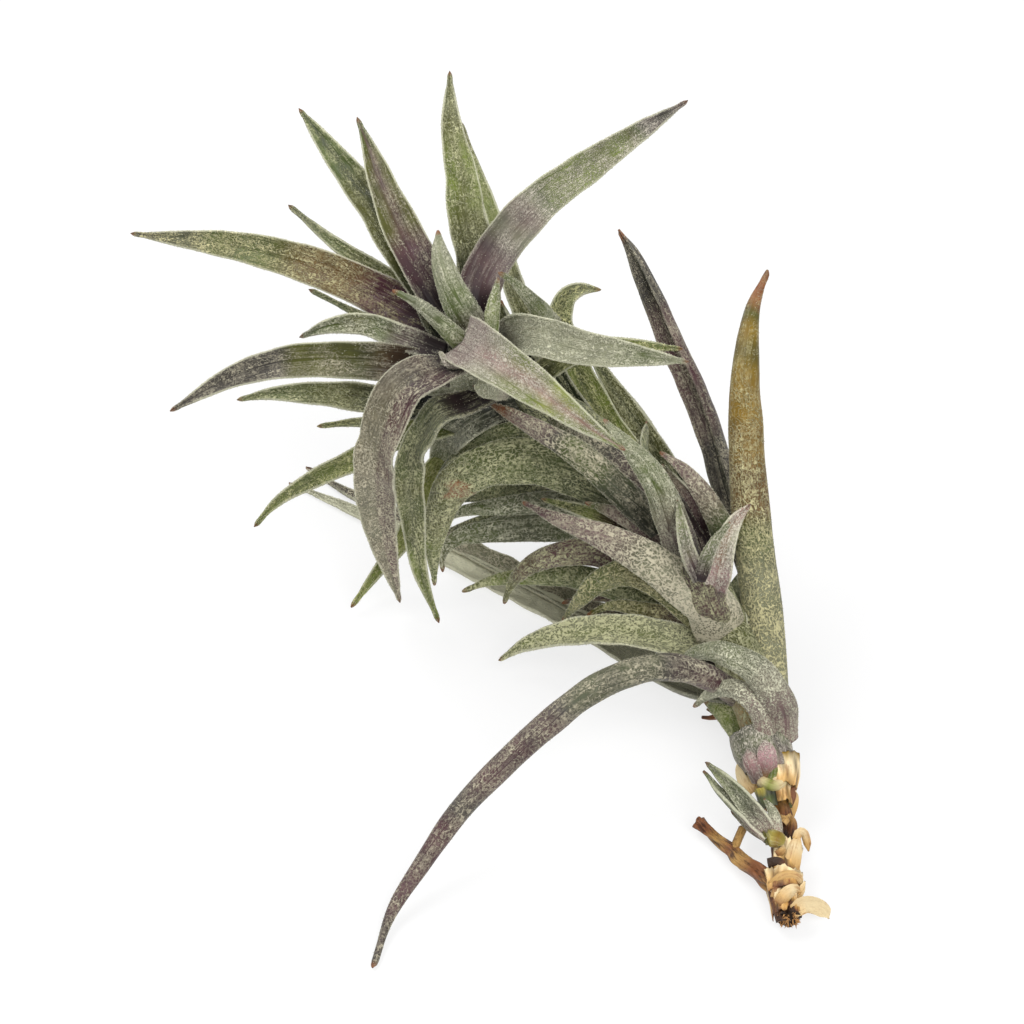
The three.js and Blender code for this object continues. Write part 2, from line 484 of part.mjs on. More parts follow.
// Long rolled leaves, older than the rest.
const OLD_LEAVES = [
  { node: "old_leaf_upright", width: 7, cup: 200, taper: 4, face: [0.45, 0.6, -0.6], colour: "olive",
    route: [[47, -59.5, 11], [46, -50, 17], [44, -38, 28], [43, -31.5, 35], [42.5, -21.5, 43],
      [42.5, -14.5, 50], [44.5, -2.5, 56], [47.5, 2.5, 61]] },
  { node: "old_leaf_leaning", width: 5.5, cup: 200, taper: 8, face: [-0.8, -0.5, 0.2], colour: "purple",
    route: [[46.5, -36.5, 13], [44.5, -28, 18], [42, -21, 23], [38, -9, 31], [34.5, -0.5, 36],
      [31, 5.5, 40.5], [28.5, 11, 44], [26, 14.5, 48], [23, 20.5, 51], [20.5, 24, 53]] },
  { node: "old_leaf_arching_down", width: 4.4, cup: 190, taper: 4, face: [0.3, 0.7, -0.6],
    colour: "purple",
    route: [[43, -61, 11], [36, -63, 20], [29.5, -64.5, 25], [23, -66.5, 27], [14.5, -70, 26],
      [6, -75, 22], [-1, -79.5, 17.5], [-9.5, -86, 11.5], [-16, -93.5, 6], [-21, -101, 2.5],
      [-24, -111.5, 0.5]] },
];

// Offshoot beside the stub: two leaves, two bracts and the knob that they grow from.
const PUP = [
  { width: 3.7, cup: 120, face: [-0.5, -0.6, 0.6],
    route: [[46.2, -88, 7], [42.8, -84, 9], [39.2, -79.2, 10], [34.8, -72.6, 9]] },
  { width: 3.7, cup: 120, face: [0.4, 0.3, 0.8],
    route: [[45.2, -88.6, 7], [41, -84, 8], [37.2, -79, 8.4], [34.4, -73.8, 8]] },
  { width: 2.1, cup: 100, face: BACK,
    route: [[46.8, -88.2, 8], [46.2, -84.8, 9.4], [44.8, -81.4, 9.4]] },
  { width: 2, cup: 100, face: BACK,
    route: [[45.2, -88, 6.6], [42.4, -85, 6], [39.2, -80.8, 5.4]] },
];
const PUP_KNOB_ROUTE = [
  [44.4, -88.6, 7.2, 1.3],
  [45.8, -88.6, 7.4, 1.6],
  [47.8, -89.2, 7.2, 1.2],
];

// Bracts at the foot of the leafy stem, over the papery sheath.
const BASE_BRACTS = [
  { width: 3.4, cup: 110, base: 0.9, taper: 2.6, face: BACK,
    route: [[45.2, -75.4, 8.4], [45.6, -74.8, 13], [44.8, -72.6, 16]] },
  { width: 3, cup: 110, base: 0.9, taper: 2.6, face: BACK,
    route: [[44, -75.4, 8], [42.6, -75.2, 11.6], [42, -72.6, 13]] },
];

// Torn strips of the lower sheath: a ribbon at the cut end and a bent flap above it.
const SHEATH_STRIPS = [
  { width: 3, cup: 60, base: 1, taper: 6, face: FRONT,
    route: [[48.6, -102.8, 5], [51, -101.6, 4.6], [53.2, -101, 3], [55.2, -101, 1.2]] },
  { width: 1.8, cup: 80, base: 1, taper: 4, face: BACK,
    route: [[47.8, -92.4, 4.8], [49, -90, 5.8], [50.2, -87.6, 7], [51.4, -88, 7], [52.2, -89.8, 5.6]] },
];

// ---- build ------------------------------------------------------------------------------------

const plant = new THREE.Group();
const ground = (() => {
  const box = new THREE.BoxGeometry(GROUND_WIDTH, GROUND_WIDTH, GROUND_DEPTH);
  box.translate(0, 0, -GROUND_DEPTH / 2);
  box.deleteAttribute("normal");
  box.deleteAttribute("uv");
  const merged = mergeVertices(box);
  return outwardSolid(merged.attributes.position.array, Array.from(merged.index.array));
})();
const placed = [];

// Trims a solid by the surface and by what stands before it, and adds it to the plant.
function addPiece(name, colour, solid, keepOut) {
  const box = solid.boundingBox();
  const near = placed.filter((other) =>
    [0, 1, 2].every((axis) => box.min[axis] < other.box.max[axis] && box.max[axis] > other.box.min[axis]));
  const trimmed = near.reduce((rest, other) => rest.subtract(other.solid), solid.subtract(ground));
  const pieces = trimmed.decompose().sort((a, b) => b.volume() - a.volume());
  const mesh = pieces[0].getMesh();
  const geometry = new THREE.BufferGeometry();
  geometry.setAttribute("position", new THREE.BufferAttribute(mesh.vertProperties, 3));
  geometry.setIndex(new THREE.BufferAttribute(mesh.triVerts, 1));
  const material = new THREE.MeshStandardMaterial({ color: COLOURS[colour], roughness: ROUGHNESS });
  const piece = new THREE.Mesh(geometry, material);
  piece.name = name;
  plant.add(piece);
  placed.push({ solid: keepOut, box: keepOut.boundingBox() });
}

// Blades of one node, fused at the root that they share.
function addLeaves(leaves) {
  for (const node of new Set(leaves.map((leaf) => leaf.node))) {
    const blades = leaves.filter((leaf) => leaf.node === node);
    const keepOut = joined(blades.map((leaf) => bladeSolid(leaf, GAP)));
    addPiece(node, blades[0].colour, joined(blades.map((leaf) => bladeSolid(leaf))), keepOut);
  }
}

function upperSheathSolid(clearance) {
  return rodSolid(UPPER_SHEATH_ROUTE, SHEATH_SIDES, SHEATH_STEPS, clearance);
}

function lowerSheathSolid(clearance) {
  return joined([
    rodSolid(LOWER_SHEATH_ROUTE, SHEATH_SIDES, SHEATH_STEPS, clearance),
    ...SHEATH_STRIPS.map((strip) => bladeSolid(strip, clearance)),
  ]);
}

function bractSolid(clearance) {
  return joined(BASE_BRACTS.map((bract) => bladeSolid(bract, clearance)));
}

function pupSolid(clearance) {
  return joined([
    rodSolid(PUP_KNOB_ROUTE, TWIG_SIDES, KNOB_STEPS, clearance),
    ...PUP.map((leaf) => bladeSolid(leaf, clearance)),
  ]);
}

addPiece("stem", "wood", stemSolid(), stemSolid(GAP));
addPiece("base_bracts", "rose", bractSolid(0), bractSolid(GAP));
addPiece("dry_sheath_upper", "paper", upperSheathSolid(0), upperSheathSolid(GAP));
addPiece("dry_sheath_lower", "paper", lowerSheathSolid(0), lowerSheathSolid(GAP));
addPiece("pup", "silver", pupSolid(0), pupSolid(GAP));
addLeaves(OLD_LEAVES);
addLeaves(LOWER_LEAVES);
addLeaves(SHOOT_LEAVES);
addLeaves(CROWN);
addLeaves(STEM_LEAVES);
plant.position.set(-ORIGIN[0], -ORIGIN[1], -ORIGIN[2]);

export default plant;
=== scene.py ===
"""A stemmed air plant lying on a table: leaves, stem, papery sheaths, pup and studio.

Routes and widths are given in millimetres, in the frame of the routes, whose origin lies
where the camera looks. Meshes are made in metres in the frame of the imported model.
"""

import json
import logging
import math
from collections.abc import Iterable
from dataclasses import dataclass
from enum import Enum

import bpy
import numpy as np
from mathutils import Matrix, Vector


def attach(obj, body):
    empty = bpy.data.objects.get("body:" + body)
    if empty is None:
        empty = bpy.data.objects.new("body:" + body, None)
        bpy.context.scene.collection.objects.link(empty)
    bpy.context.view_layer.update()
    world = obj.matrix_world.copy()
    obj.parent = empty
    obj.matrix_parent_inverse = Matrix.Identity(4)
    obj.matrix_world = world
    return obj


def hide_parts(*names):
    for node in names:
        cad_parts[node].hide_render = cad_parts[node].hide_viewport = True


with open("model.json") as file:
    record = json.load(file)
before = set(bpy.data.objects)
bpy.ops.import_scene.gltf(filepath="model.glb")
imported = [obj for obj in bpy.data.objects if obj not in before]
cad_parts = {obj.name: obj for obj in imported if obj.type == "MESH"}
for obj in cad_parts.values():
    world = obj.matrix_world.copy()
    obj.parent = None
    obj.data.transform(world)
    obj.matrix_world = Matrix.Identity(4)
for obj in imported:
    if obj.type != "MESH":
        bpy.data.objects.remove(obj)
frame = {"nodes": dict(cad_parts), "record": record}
LOG = logging.getLogger("air_plant")

MM = 0.001
ORIGIN = np.array((-9.5, -25.0, 0.0))  # middle of the footprint, in the frame of the routes
SEED = 7

Array = np.ndarray
Point = tuple[float, float, float]
Piece = bpy.types.Object
Tree = bpy.types.NodeTree
Node = bpy.types.Node
Socket = bpy.types.NodeSocket
Materials = dict[str, bpy.types.Material]  # material of each slot
Slots = dict[str, str]  # slot of each CAD node, out of the record

# Directions that a blade's hollow side faces.
FRONT: Point = (0, -0.7, 0.7)
BACK: Point = (0, 0.7, -0.7)
UP: Point = (0, 0, 1)

# Measures of a blade's section, in millimetres where nothing else is said.
BLADE = 1.2  # thickness along the keel at the root
BLADE_TIP = 0.75  # thickness along the keel at the tip
MARGIN = 0.5  # thickness at the margins
PAPER = 0.26  # thickness of a papery sheet or scrap
TIP_WIDTH = 0.9  # least width
TIP_LENGTH = 1.2  # length over which the tip is rounded off
BASE_STRETCH = 0.2  # part of the length over which the root widens
THIN_BELOW = 2.2  # width under which the blade gets thinner too
LEAST_THICK = 0.35  # part of its thickness that even the narrowest place keeps
FLAT_RATIO = 2.4  # least width over thickness at which a section keeps its whole cup
KEEL = 0.35  # how far an open section is folded along its keel, 0 to 1
KEEL_SOFTNESS = 0.08  # part of the half width over which that fold is rounded
ROUND_FROM = 0.86  # part of the half width at which the margin's rounding starts
ROW_STEP = 0.75  # distance between two rows of points
TIP_ROWS = np.array((0.35, 0.15))  # two more rows, at these distances from the tip
HALF_WIDTH = np.array((0, 0.05, 0.15, 0.28, 0.42, 0.56, 0.69, 0.8, 0.885, 0.945, 0.98, 1.0))

# Irregularities of a blade: height and wavelength, in millimetres where nothing else is said.
UNEVEN_WIDTH = (0.025, 11)  # the height is a part of the width
WAVY_MARGIN = (0.2, 9)
DIMPLES = (0.1, 6)
STRAY_COLOURS = (0.05, 14)  # the height is a part of the length
STRAY_BAND = (0.12, 16)  # the height is a part of the half width
RAGGED_PATCH = (0.35, 4)  # the height is a part of the patch
ROLLED = 180  # a section that spans more than this, in degrees, hides its margins
STIFF = 150  # and one that spans more than this hardly waves
STIFF_WAVES = 0.3  # part of its waves that a stiff blade keeps
FULL_WAVES = 5  # width from which a blade waves at full height

# What is seen of a blade, by the distance from its margin in millimetres, and how strongly.
RIM = (0.24, 0.06)
RIM_SHARE = 0.6
SHAG = (0.35, 0.15)
SHAG_ON_FACE = 0.12
NARROW = (0.8, 2.5)  # widths between which the rim fades in
BAND_WIDTH = 0.38  # part of the half width that the coloured band covers
BAND_SHARE = 0.75
HALF_SHARE = 0.6
HALF_EDGE = 0.1  # part of the half width over which one half's tint fades out
ROLLED_MARGIN = 0.15  # how much of its margins a rolled section shows
DEAD_CORE = 0.35  # part of the dead tip that is wholly dead
DEAD_BARE = 0.6  # part of its scales that dead skin has lost
PATCH_CORE = 0.6  # part of a withered patch that is wholly withered
PATCH_SHADE = 1.3  # lightness of a withered patch over that of a dead tip

# Parts of the length between which something sets in.
PAINTED_SHADE_SPAN = (0.5, 0.06)  # painted shade that darkens the root, where the throat of the crown lies in shade
WAVES_FROM = (0.05, 0.3)
BAND_FROM = (0.12, 0.3)
HALVES_FROM = (0.1, 0.3)
SHAG_FROM = (0.02, 0.1)

# Pigments under the scales: what the leaf skin itself looks like, in sRGB.
PIGMENTS = {
    # wine and forest at the roots of most blades are the skin's own dark base, and partly painted shade
    # for the depths of the crown as well.
    "wine": "#2e121a",
    "maroon": "#48202a",
    "plum": "#4a3134",
    "mauve": "#66524f",
    "rose": "#8a6464",
    "dusk": "#393531",
    "slate": "#4c5038",
    "silver": "#72745a",
    "fern": "#465124",
    "forest": "#20280f",
    "moss": "#47481c",
    "leaf": "#5c6826",
    "lime": "#81893c",
    "sienna": "#553c18",
    "gold": "#785e1a",
    "umber": "#80502e",
    "pink": "#a87880",
    "cream": "#dcc79c",
    "husk": "#c9a368",
    "straw": "#b0894c",
    "bark": "#7a4b29",
    "char": "#33200f",
    "knob": "#94883e",
    "rust": "#70492f",
    "rim": "#cfceb4",
    "frost": "#a3a48a",
}


def linear(colour: str) -> tuple[float, float, float, float]:
    """Turns a hex sRGB colour to linear RGBA.

    Args:
        colour: A colour such as "#8a9a6b".

    Returns:
        The linear red, green and blue, and an alpha of one.
    """
    parts = [int(colour[i : i + 2], 16) / 255 for i in (1, 3, 5)]
    red, green, blue = (c / 12.92 if c <= 0.04045 else ((c + 0.055) / 1.055) ** 2.4 for c in parts)
    return red, green, blue, 1.0


def smooth(low: float, high: float, x: Array) -> Array:
    """Rises smoothly from 0 at low to 1 at high.

    Args:
        low: Where the rise starts.
        high: Where it ends.
        x: Places at which it is wanted.

    Returns:
        The height of the step at each place.
    """
    t = np.clip((x - low) / (high - low), 0, 1)
    return t * t * (3 - 2 * t)


def unit(v: Array) -> Array:
    """Gives each row of v a length of one."""
    return v / np.maximum(np.linalg.norm(v, axis=-1, keepdims=True), 1e-9)


def wander(rng: np.random.Generator, at: Array, wavelength: float) -> Array:
    """A smooth irregular curve of about unit height.

    Args:
        rng: Source of the random phases.
        at: Distances along the curve, in millimetres.
        wavelength: Typical distance between two crests, in millimetres.

    Returns:
        The height of the curve at each distance.
    """
    total = np.zeros_like(at, dtype=float)
    for _ in range(4):
        pitch = wavelength * rng.uniform(0.6, 1.7)
        total += np.sin(2 * math.pi * (at / pitch + rng.uniform()))
    return total / 2


class Route:
    """A smooth curve through given points, walked by its length."""

    def __init__(self, points: tuple[Point, ...], samples: int = 400) -> None:
        """Lays the curve.

        Args:
            points: Points that the curve passes through, in millimetres.
            samples: Number of places at which the curve is measured.
        """
        self.points = np.array(points, float)
        where = np.linspace(0, len(points) - 1, samples)
        self.track = np.array([self._place(t) for t in where])
        steps = np.linalg.norm(np.diff(self.track[:, :3], axis=0), axis=1)
        self.walked = np.concatenate([[0], np.cumsum(steps)])
        self.length = float(self.walked[-1])

    def _place(self, t: float) -> Array:
        """Finds one point of a centripetal Catmull-Rom curve.

        Args:
            t: Place along the route, counted in its points.

        Returns:
            The point, with any fourth value of the route.
        """
        last = len(self.points) - 1
        i = min(int(t), last - 1)
        w = t - i
        p = self.points
        before = p[i - 1] if i else 2 * p[0] - p[1]
        after = p[i + 2] if i + 2 <= last else 2 * p[last] - p[last - 1]
        a, b = p[i], p[i + 1]
        d0, d1, d2 = (max(np.linalg.norm((v - u)[:3]) ** 0.5, 1e-3)
                      for u, v in ((before, a), (a, b), (b, after)))
        t1 = ((a - before) / d0 - (b - before) / (d0 + d1) + (b - a) / d1) * d1
        t2 = ((b - a) / d1 - (after - a) / (d1 + d2) + (after - b) / d2) * d1
        return a + t1 * w + (3 * (b - a) - 2 * t1 - t2) * w**2 + (2 * (a - b) + t1 + t2) * w**3

    def at(self, s: Array) -> Array:
        """Points of the curve at parts s of its length, and any fourth value with them."""
        columns = [np.interp(s * self.length, self.walked, c) for c in self.track.T]
        return np.stack(columns, 1)

    def tangents(self, s: Array) -> Array:
        """Unit directions of the curve at parts s of its length."""
        return unit(self.at(np.clip(s + 0.005, 0, 1))[:, :3] - self.at(np.clip(s - 0.005, 0, 1))[:, :3])


def tint(name: str) -> Array:
    """Linear RGB of one pigment."""
    return np.array(linear(PIGMENTS[name])[:3])


def pigment(names: str, s: Array) -> Array:
    """Blends a row of named pigments from root to tip.

    Args:
        names: Names out of PIGMENTS with spaces between them.
        s: Parts of the length at which the colour is wanted.

    Returns:
        Linear RGB, one row for each s.
    """
    stops = np.array([tint(name) for name in names.split()])
    where = np.linspace(0, 1, len(stops))
    return np.stack([np.interp(s, where, c) for c in stops.T], -1)


INNER_SHIFT = 30  # how far the inner face's pattern lies from the outer one's, in millimetres


@dataclass
class Skin:
    """A closed skin between two grids of points that share their long edges.

    Attributes:
        outer: Points of the outer face in millimetres, rows by columns by three.
        inner: Points of the inner face, alike.
        along: Distance along the piece at each row, in millimetres.
        across: Distance across the piece at each point, rows by columns, in millimetres.
        colour: Linear RGB of each point, faces by rows by columns by three.
        values: Named numbers of each point, each faces by rows by columns.
        offset: Where the pattern of this piece starts, in metres.
    """

    outer: Array
    inner: Array
    along: Array
    across: Array
    colour: Array
    values: dict[str, Array]
    offset: float = 0.0

    def build(self, name: str) -> Piece:
        """Makes the mesh object of this skin.

        Args:
            name: Name of the object.

        Returns:
            The object, linked to the scene, with its UV map and attributes.
        """
        points = np.concatenate([self.outer.reshape(-1, 3), self.inner.reshape(-1, 3)])
        faces, homes = self._quads()
        if signed_volume(points, faces) < 0:
            faces, homes = faces[:, ::-1], homes[:, ::-1]
        across = np.concatenate([self.across.ravel(), self.across.ravel() + INNER_SHIFT])
        along = np.tile(np.repeat(self.along, self.outer.shape[1]), 2)
        used, compact = np.unique(faces, return_inverse=True)
        compact = compact.reshape(faces.shape)
        polygons, uv = [], []
        for corners, home in zip(compact.tolist(), homes.tolist()):
            kept = [i for i in range(4) if corners[i] != corners[i - 1]]
            if len(kept) < 3:
                continue
            polygons.append([corners[i] for i in kept])
            uv.extend((along[home[i]] * MM + self.offset, across[home[i]] * MM) for i in kept)
        mesh = bpy.data.meshes.new(name)
        mesh.from_pydata(((points[used] - ORIGIN) * MM).tolist(), [], polygons)
        layer = mesh.uv_layers.new(name="skin")
        layer.uv.foreach_set("vector", np.array(uv, np.float32).ravel())
        colour = self.colour.reshape(-1, 3)[used]
        own = mesh.attributes.new("pigment", "FLOAT_COLOR", "POINT")
        rgba = np.concatenate([colour, np.ones((len(colour), 1))], 1)
        own.data.foreach_set("color", rgba.astype(np.float32).ravel())
        for key, value in self.values.items():
            number = mesh.attributes.new(key, "FLOAT", "POINT")
            number.data.foreach_set("value", value.ravel()[used].astype(np.float32))
        mesh.polygons.foreach_set("use_smooth", np.ones(len(polygons), bool))
        mesh.update()
        return linked(name, mesh)

    def _quads(self) -> tuple[Array, Array]:
        """Quads of both faces and both ends.

        Returns:
            The points that each quad joins, and the points that its pattern and colour come from,
            which differ along the two long edges, where both faces share their points.
        """
        rows, columns = self.outer.shape[:2]
        home = np.arange(2 * rows * columns).reshape(2, rows, columns)
        shared = home.copy()
        shared[1, :, [0, -1]] = home[0, :, [0, -1]]

        def ring(grid: Array) -> list[Array]:
            """The four corners of every cell of a grid, in order."""
            return [grid[:-1, :-1], grid[:-1, 1:], grid[1:, 1:], grid[1:, :-1]]

        quads = []
        for face, step in ((0, 1), (1, -1)):
            quads.append([np.stack(ring(grid[face])[::step], -1).reshape(-1, 4)
                          for grid in (shared, home)])
        for row, step in ((0, -1), (rows - 1, 1)):
            a, b = shared[:, row]
            cap = np.stack([a[:-1], a[1:], b[1:], b[:-1]][::step], -1)
            quads.append([cap, cap])
        return np.concatenate([q[0] for q in quads]), np.concatenate([q[1] for q in quads])


def signed_volume(points: Array, quads: Array) -> float:
    """Measures the volume inside closed quads.

    Args:
        points: Corners of the quads.
        quads: Numbers of the four corners of each quad.

    Returns:
        The volume, below zero where the quads face inwards.
    """
    a, b, c, d = (points[quads[:, i]] for i in range(4))
    halves = np.einsum("ij,ij->i", a, np.cross(b, c)) + np.einsum("ij,ij->i", a, np.cross(c, d))
    return float(halves.sum() / 6)


def linked(name: str, data: bpy.types.ID) -> Piece:
    """Makes an object and links it to the scene.

    Args:
        name: Name of the object.
        data: Its mesh, light or camera.

    Returns:
        The object.
    """
    made = bpy.data.objects.new(name, data)
    bpy.context.scene.collection.objects.link(made)
    return made


def fused(parts: list[Piece], name: str) -> Piece:
    """Joins several objects into one.

    Args:
        parts: The objects, of which the first is kept.
        name: Name of the result.

    Returns:
        The joined object.
    """
    for other in bpy.context.selected_objects:
        other.select_set(False)
    for part in parts:
        part.select_set(True)
    bpy.context.view_layer.objects.active = parts[0]
    if len(parts) > 1:
        bpy.ops.object.join()
    parts[0].name = name
    parts[0].data.name = name
    return parts[0]


def add(tree: Tree, kind: str, inputs: dict | None = None, **settings) -> Node:
    """Adds one node with its settings and links.

    Args:
        tree: Tree that the node goes into.
        kind: Blender's name of the node type.
        inputs: For each input, by name or index, a value or what to link from: a socket, or a
            node whose first output is meant.
        **settings: Properties of the node.

    Returns:
        The new node.
    """
    node = tree.nodes.new(kind)
    for key, value in settings.items():
        setattr(node, key, value)
    for key, value in (inputs or {}).items():
        if isinstance(value, Node):
            value = value.outputs[0]
        if isinstance(value, Socket):
            tree.links.new(value, node.inputs[key])
        else:
            node.inputs[key].default_value = value
    return node


def hand_over(piece: Piece, slot: str, *nodes: str) -> None:
    """Attaches a finished piece to the root body and hides the CAD nodes that it replaces.

    Args:
        piece: The finished piece.
        slot: Slot of the record; not used.
        *nodes: CAD nodes that it replaces.
    """
    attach(piece, "root")
    for node in nodes:
        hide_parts(node)
    LOG.info("%s: %d faces", piece.name, len(piece.data.polygons))


def new_material(name: str) -> tuple[bpy.types.Material, Tree]:
    """Makes an empty node material.

    Args:
        name: Name of the material.

    Returns:
        The material and its tree.
    """
    material = bpy.data.materials.new(name)
    material.use_nodes = True
    material.node_tree.nodes.clear()
    return material, material.node_tree


class LeafSlot(Enum):
    """Material slots of the record that a leaf may take its finish from."""

    GREEN = "leaf_green"
    OLIVE = "leaf_olive"
    BRIGHT = "leaf_bright"
    PURPLE = "leaf_purple"
    MAROON = "leaf_maroon"
    SILVER = "leaf_silver"
    GREY = "leaf_grey"
    ROSE = "leaf_rose"
    TAN = "leaf_tan"


MEAN_FELT = 0.33  # mean of the pattern of scales, which its contrast leaves as it is
COVER = 0.5  # how much of the skin one unit of scurf hides


def beside_middle(tree: Tree, noise: Node) -> Node:
    """Adds how far a noise is from its middle value, which is nought along winding lines."""
    off = add(tree, "ShaderNodeMath", {0: noise, 1: 0.5}, operation="SUBTRACT")
    return add(tree, "ShaderNodeMath", {0: off}, operation="ABSOLUTE")


@dataclass(frozen=True)
class LeafFinish:
    """Leaf skin under a felt of dead silver scales, which drink dew for the plant.

    The scales leave pores and wavy lines open, so the skin shows as fine dark dots and lines.

    Attributes:
        slot: Slot of the record.
        scales: Colour of the scales where they are thick.
        ripple: Distance between two rows of scales, in millimetres.
        grain: Distance between two pores that the scales leave open, in millimetres.
        contrast: How far the cover differs between a pore and the scales round it.
    """

    slot: LeafSlot
    scales: str
    ripple: float = 0.8
    grain: float = 0.4
    contrast: float = 2.7

    def material(self) -> bpy.types.Material:
        """Builds the material.

        Returns:
            The material, whose patterns follow the blade through its UV map.
        """
        material, tree = new_material(self.slot.value)
        uv = add(tree, "ShaderNodeUVMap", uv_map="skin")
        mm = add(tree, "ShaderNodeVectorMath", {0: uv, "Scale": 1 / MM}, operation="SCALE")
        lengthwise = add(tree, "ShaderNodeMapping", {"Vector": mm, "Scale": (0.07, 1.1, 1.0)})
        streaks = add(tree, "ShaderNodeTexNoise",
                      {"Vector": lengthwise, "Scale": 1.0, "Detail": 3.0, "Roughness": 0.55})
        shown = add(tree, "ShaderNodeMath", {0: self._cover(tree, mm, streaks), 1: self._felt(tree, mm)},
                    operation="MULTIPLY", use_clamp=True)
        gloss = add(tree, "ShaderNodeMapRange", {"Value": shown, "To Min": 0.42, "To Max": 0.78})
        relief = add(tree, "ShaderNodeMath", {0: streaks, 1: 0.9, 2: shown}, operation="MULTIPLY_ADD")
        bump = add(tree, "ShaderNodeBump", {"Height": relief, "Strength": 0.9, "Distance": 0.32 * MM})
        surface = add(tree, "ShaderNodeBsdfPrincipled",
                      {"Base Color": self._colour(tree, mm, shown), "Roughness": gloss, "Normal": bump,
                       "Specular IOR Level": 0.25, "Sheen Weight": 0.06, "Sheen Roughness": 0.5})
        add(tree, "ShaderNodeOutputMaterial", {"Surface": surface})
        return material

    def _felt(self, tree: Tree, mm: Node) -> Node:
        """Adds the pattern of single scales: round cells in some places, winding rows in others.

        Args:
            tree: Tree of the material.
            mm: The place on the blade, in millimetres.

        Returns:
            The node that gives the cover of each place as a part of the cover around it.
        """
        rows = add(tree, "ShaderNodeMapping", {"Vector": mm, "Scale": (0.85, 1.15, 1.0)})
        cells = add(tree, "ShaderNodeTexVoronoi",
                    {"Vector": rows, "Scale": 1 / self.grain, "Randomness": 0.8})
        net = add(tree, "ShaderNodeMapRange", {"Value": cells, "From Min": 0.35, "From Max": 0.7})
        swirl = add(tree, "ShaderNodeTexNoise",
                    {"Vector": rows, "Scale": 1 / self.ripple, "Detail": 1.0, "Distortion": 0.5})
        bent = beside_middle(tree, swirl)
        maze = add(tree, "ShaderNodeMapRange", {"Value": bent, "From Min": 0.085, "From Max": 0.01})
        where = add(tree, "ShaderNodeTexNoise", {"Vector": mm, "Scale": 0.16, "Detail": 1.0})
        winding = add(tree, "ShaderNodeMapRange",
                      {"Value": where, "From Min": 0.4, "From Max": 0.6, "To Min": 0.5, "To Max": 0.9},
                      interpolation_type="SMOOTHSTEP")
        felt = add(tree, "ShaderNodeMix", {0: winding, 2: net, 3: maze})
        return add(tree, "ShaderNodeMath", {0: felt, 1: self.contrast, 2: 1 - self.contrast * MEAN_FELT},
                   operation="MULTIPLY_ADD")

    def _cover(self, tree: Tree, mm: Node, streaks: Node) -> Node:
        """Adds how thickly the scales lie: thinner in worn streaks and patches and along creases.

        Args:
            tree: Tree of the material.
            mm: The place on the blade, in millimetres.
            streaks: Noise drawn out along the blade.

        Returns:
            The node that gives the cover, 0 to 1.
        """
        patches = add(tree, "ShaderNodeTexNoise",
                      {"Vector": mm, "Scale": 0.2, "Detail": 2.0, "Roughness": 0.5})
        worn = add(tree, "ShaderNodeMath", {0: streaks, 1: patches})
        uneven = add(tree, "ShaderNodeMapRange",
                     {"Value": worn, "From Min": 0.7, "From Max": 1.3, "To Min": -0.2, "To Max": 0.2})
        lanes = add(tree, "ShaderNodeMapping", {"Vector": mm, "Scale": (0.03, 0.5, 1.0)})
        fold = add(tree, "ShaderNodeTexNoise", {"Vector": lanes, "Scale": 1.0, "Detail": 1.0})
        beside = beside_middle(tree, fold)
        crease = add(tree, "ShaderNodeMapRange",
                     {"Value": beside, "From Min": 0.02, "From Max": 0.0, "To Max": -0.25})
        scurf = add(tree, "ShaderNodeAttribute", attribute_name="scurf").outputs["Fac"]
        thick = add(tree, "ShaderNodeMath", {0: scurf, 1: COVER, 2: uneven}, operation="MULTIPLY_ADD")
        return add(tree, "ShaderNodeMath", {0: crease, 1: thick}, use_clamp=True)

    def _colour(self, tree: Tree, mm: Node, shown: Node) -> Socket:
        """Adds the colours: blotched skin, then scales over it, then the pale rim.

        Args:
            tree: Tree of the material.
            mm: The place on the blade, in millimetres.
            shown: How much the scales hide of the skin.

        Returns:
            The socket that gives the colour.
        """
        own = add(tree, "ShaderNodeAttribute", attribute_name="pigment")
        blotch = add(tree, "ShaderNodeTexNoise",
                     {"Vector": mm, "Scale": 0.3, "Detail": 4.0, "Roughness": 0.65})
        shade = add(tree, "ShaderNodeMapRange",
                    {"Value": blotch, "From Min": 0.3, "From Max": 0.7, "To Min": 0.65, "To Max": 1.3})
        colour = add(tree, "ShaderNodeVectorMath", {0: own, "Scale": shade}, operation="SCALE")
        rim = add(tree, "ShaderNodeAttribute", attribute_name="rim").outputs["Fac"]
        silver = add(tree, "ShaderNodeMix", {0: 0.9, 6: colour, 7: linear(self.scales)},
                     data_type="RGBA").outputs[2]
        for share, over in ((shown, silver), (rim, linear(PIGMENTS["rim"]))):
            colour = add(tree, "ShaderNodeMix", {0: share, 6: colour, 7: over},
                         data_type="RGBA").outputs[2]
        return colour


LEAF_FINISHES = {
    finish.slot: finish
    for finish in (
        LeafFinish(LeafSlot.GREEN, scales="#c0bf96"),
        LeafFinish(LeafSlot.OLIVE, scales="#c1ba8e"),
        LeafFinish(LeafSlot.BRIGHT, scales="#c6c48e"),
        LeafFinish(LeafSlot.PURPLE, scales="#beb69e"),
        LeafFinish(LeafSlot.MAROON, scales="#b8ab96"),
        LeafFinish(LeafSlot.SILVER, scales="#d2d0b6", ripple=0.55, grain=0.3, contrast=2.2),
        LeafFinish(LeafSlot.GREY, scales="#c7c5ac"),
        LeafFinish(LeafSlot.ROSE, scales="#d3cbbb", ripple=0.55, grain=0.3, contrast=2.2),
        LeafFinish(LeafSlot.TAN, scales="#c6bea4"),
    )
}


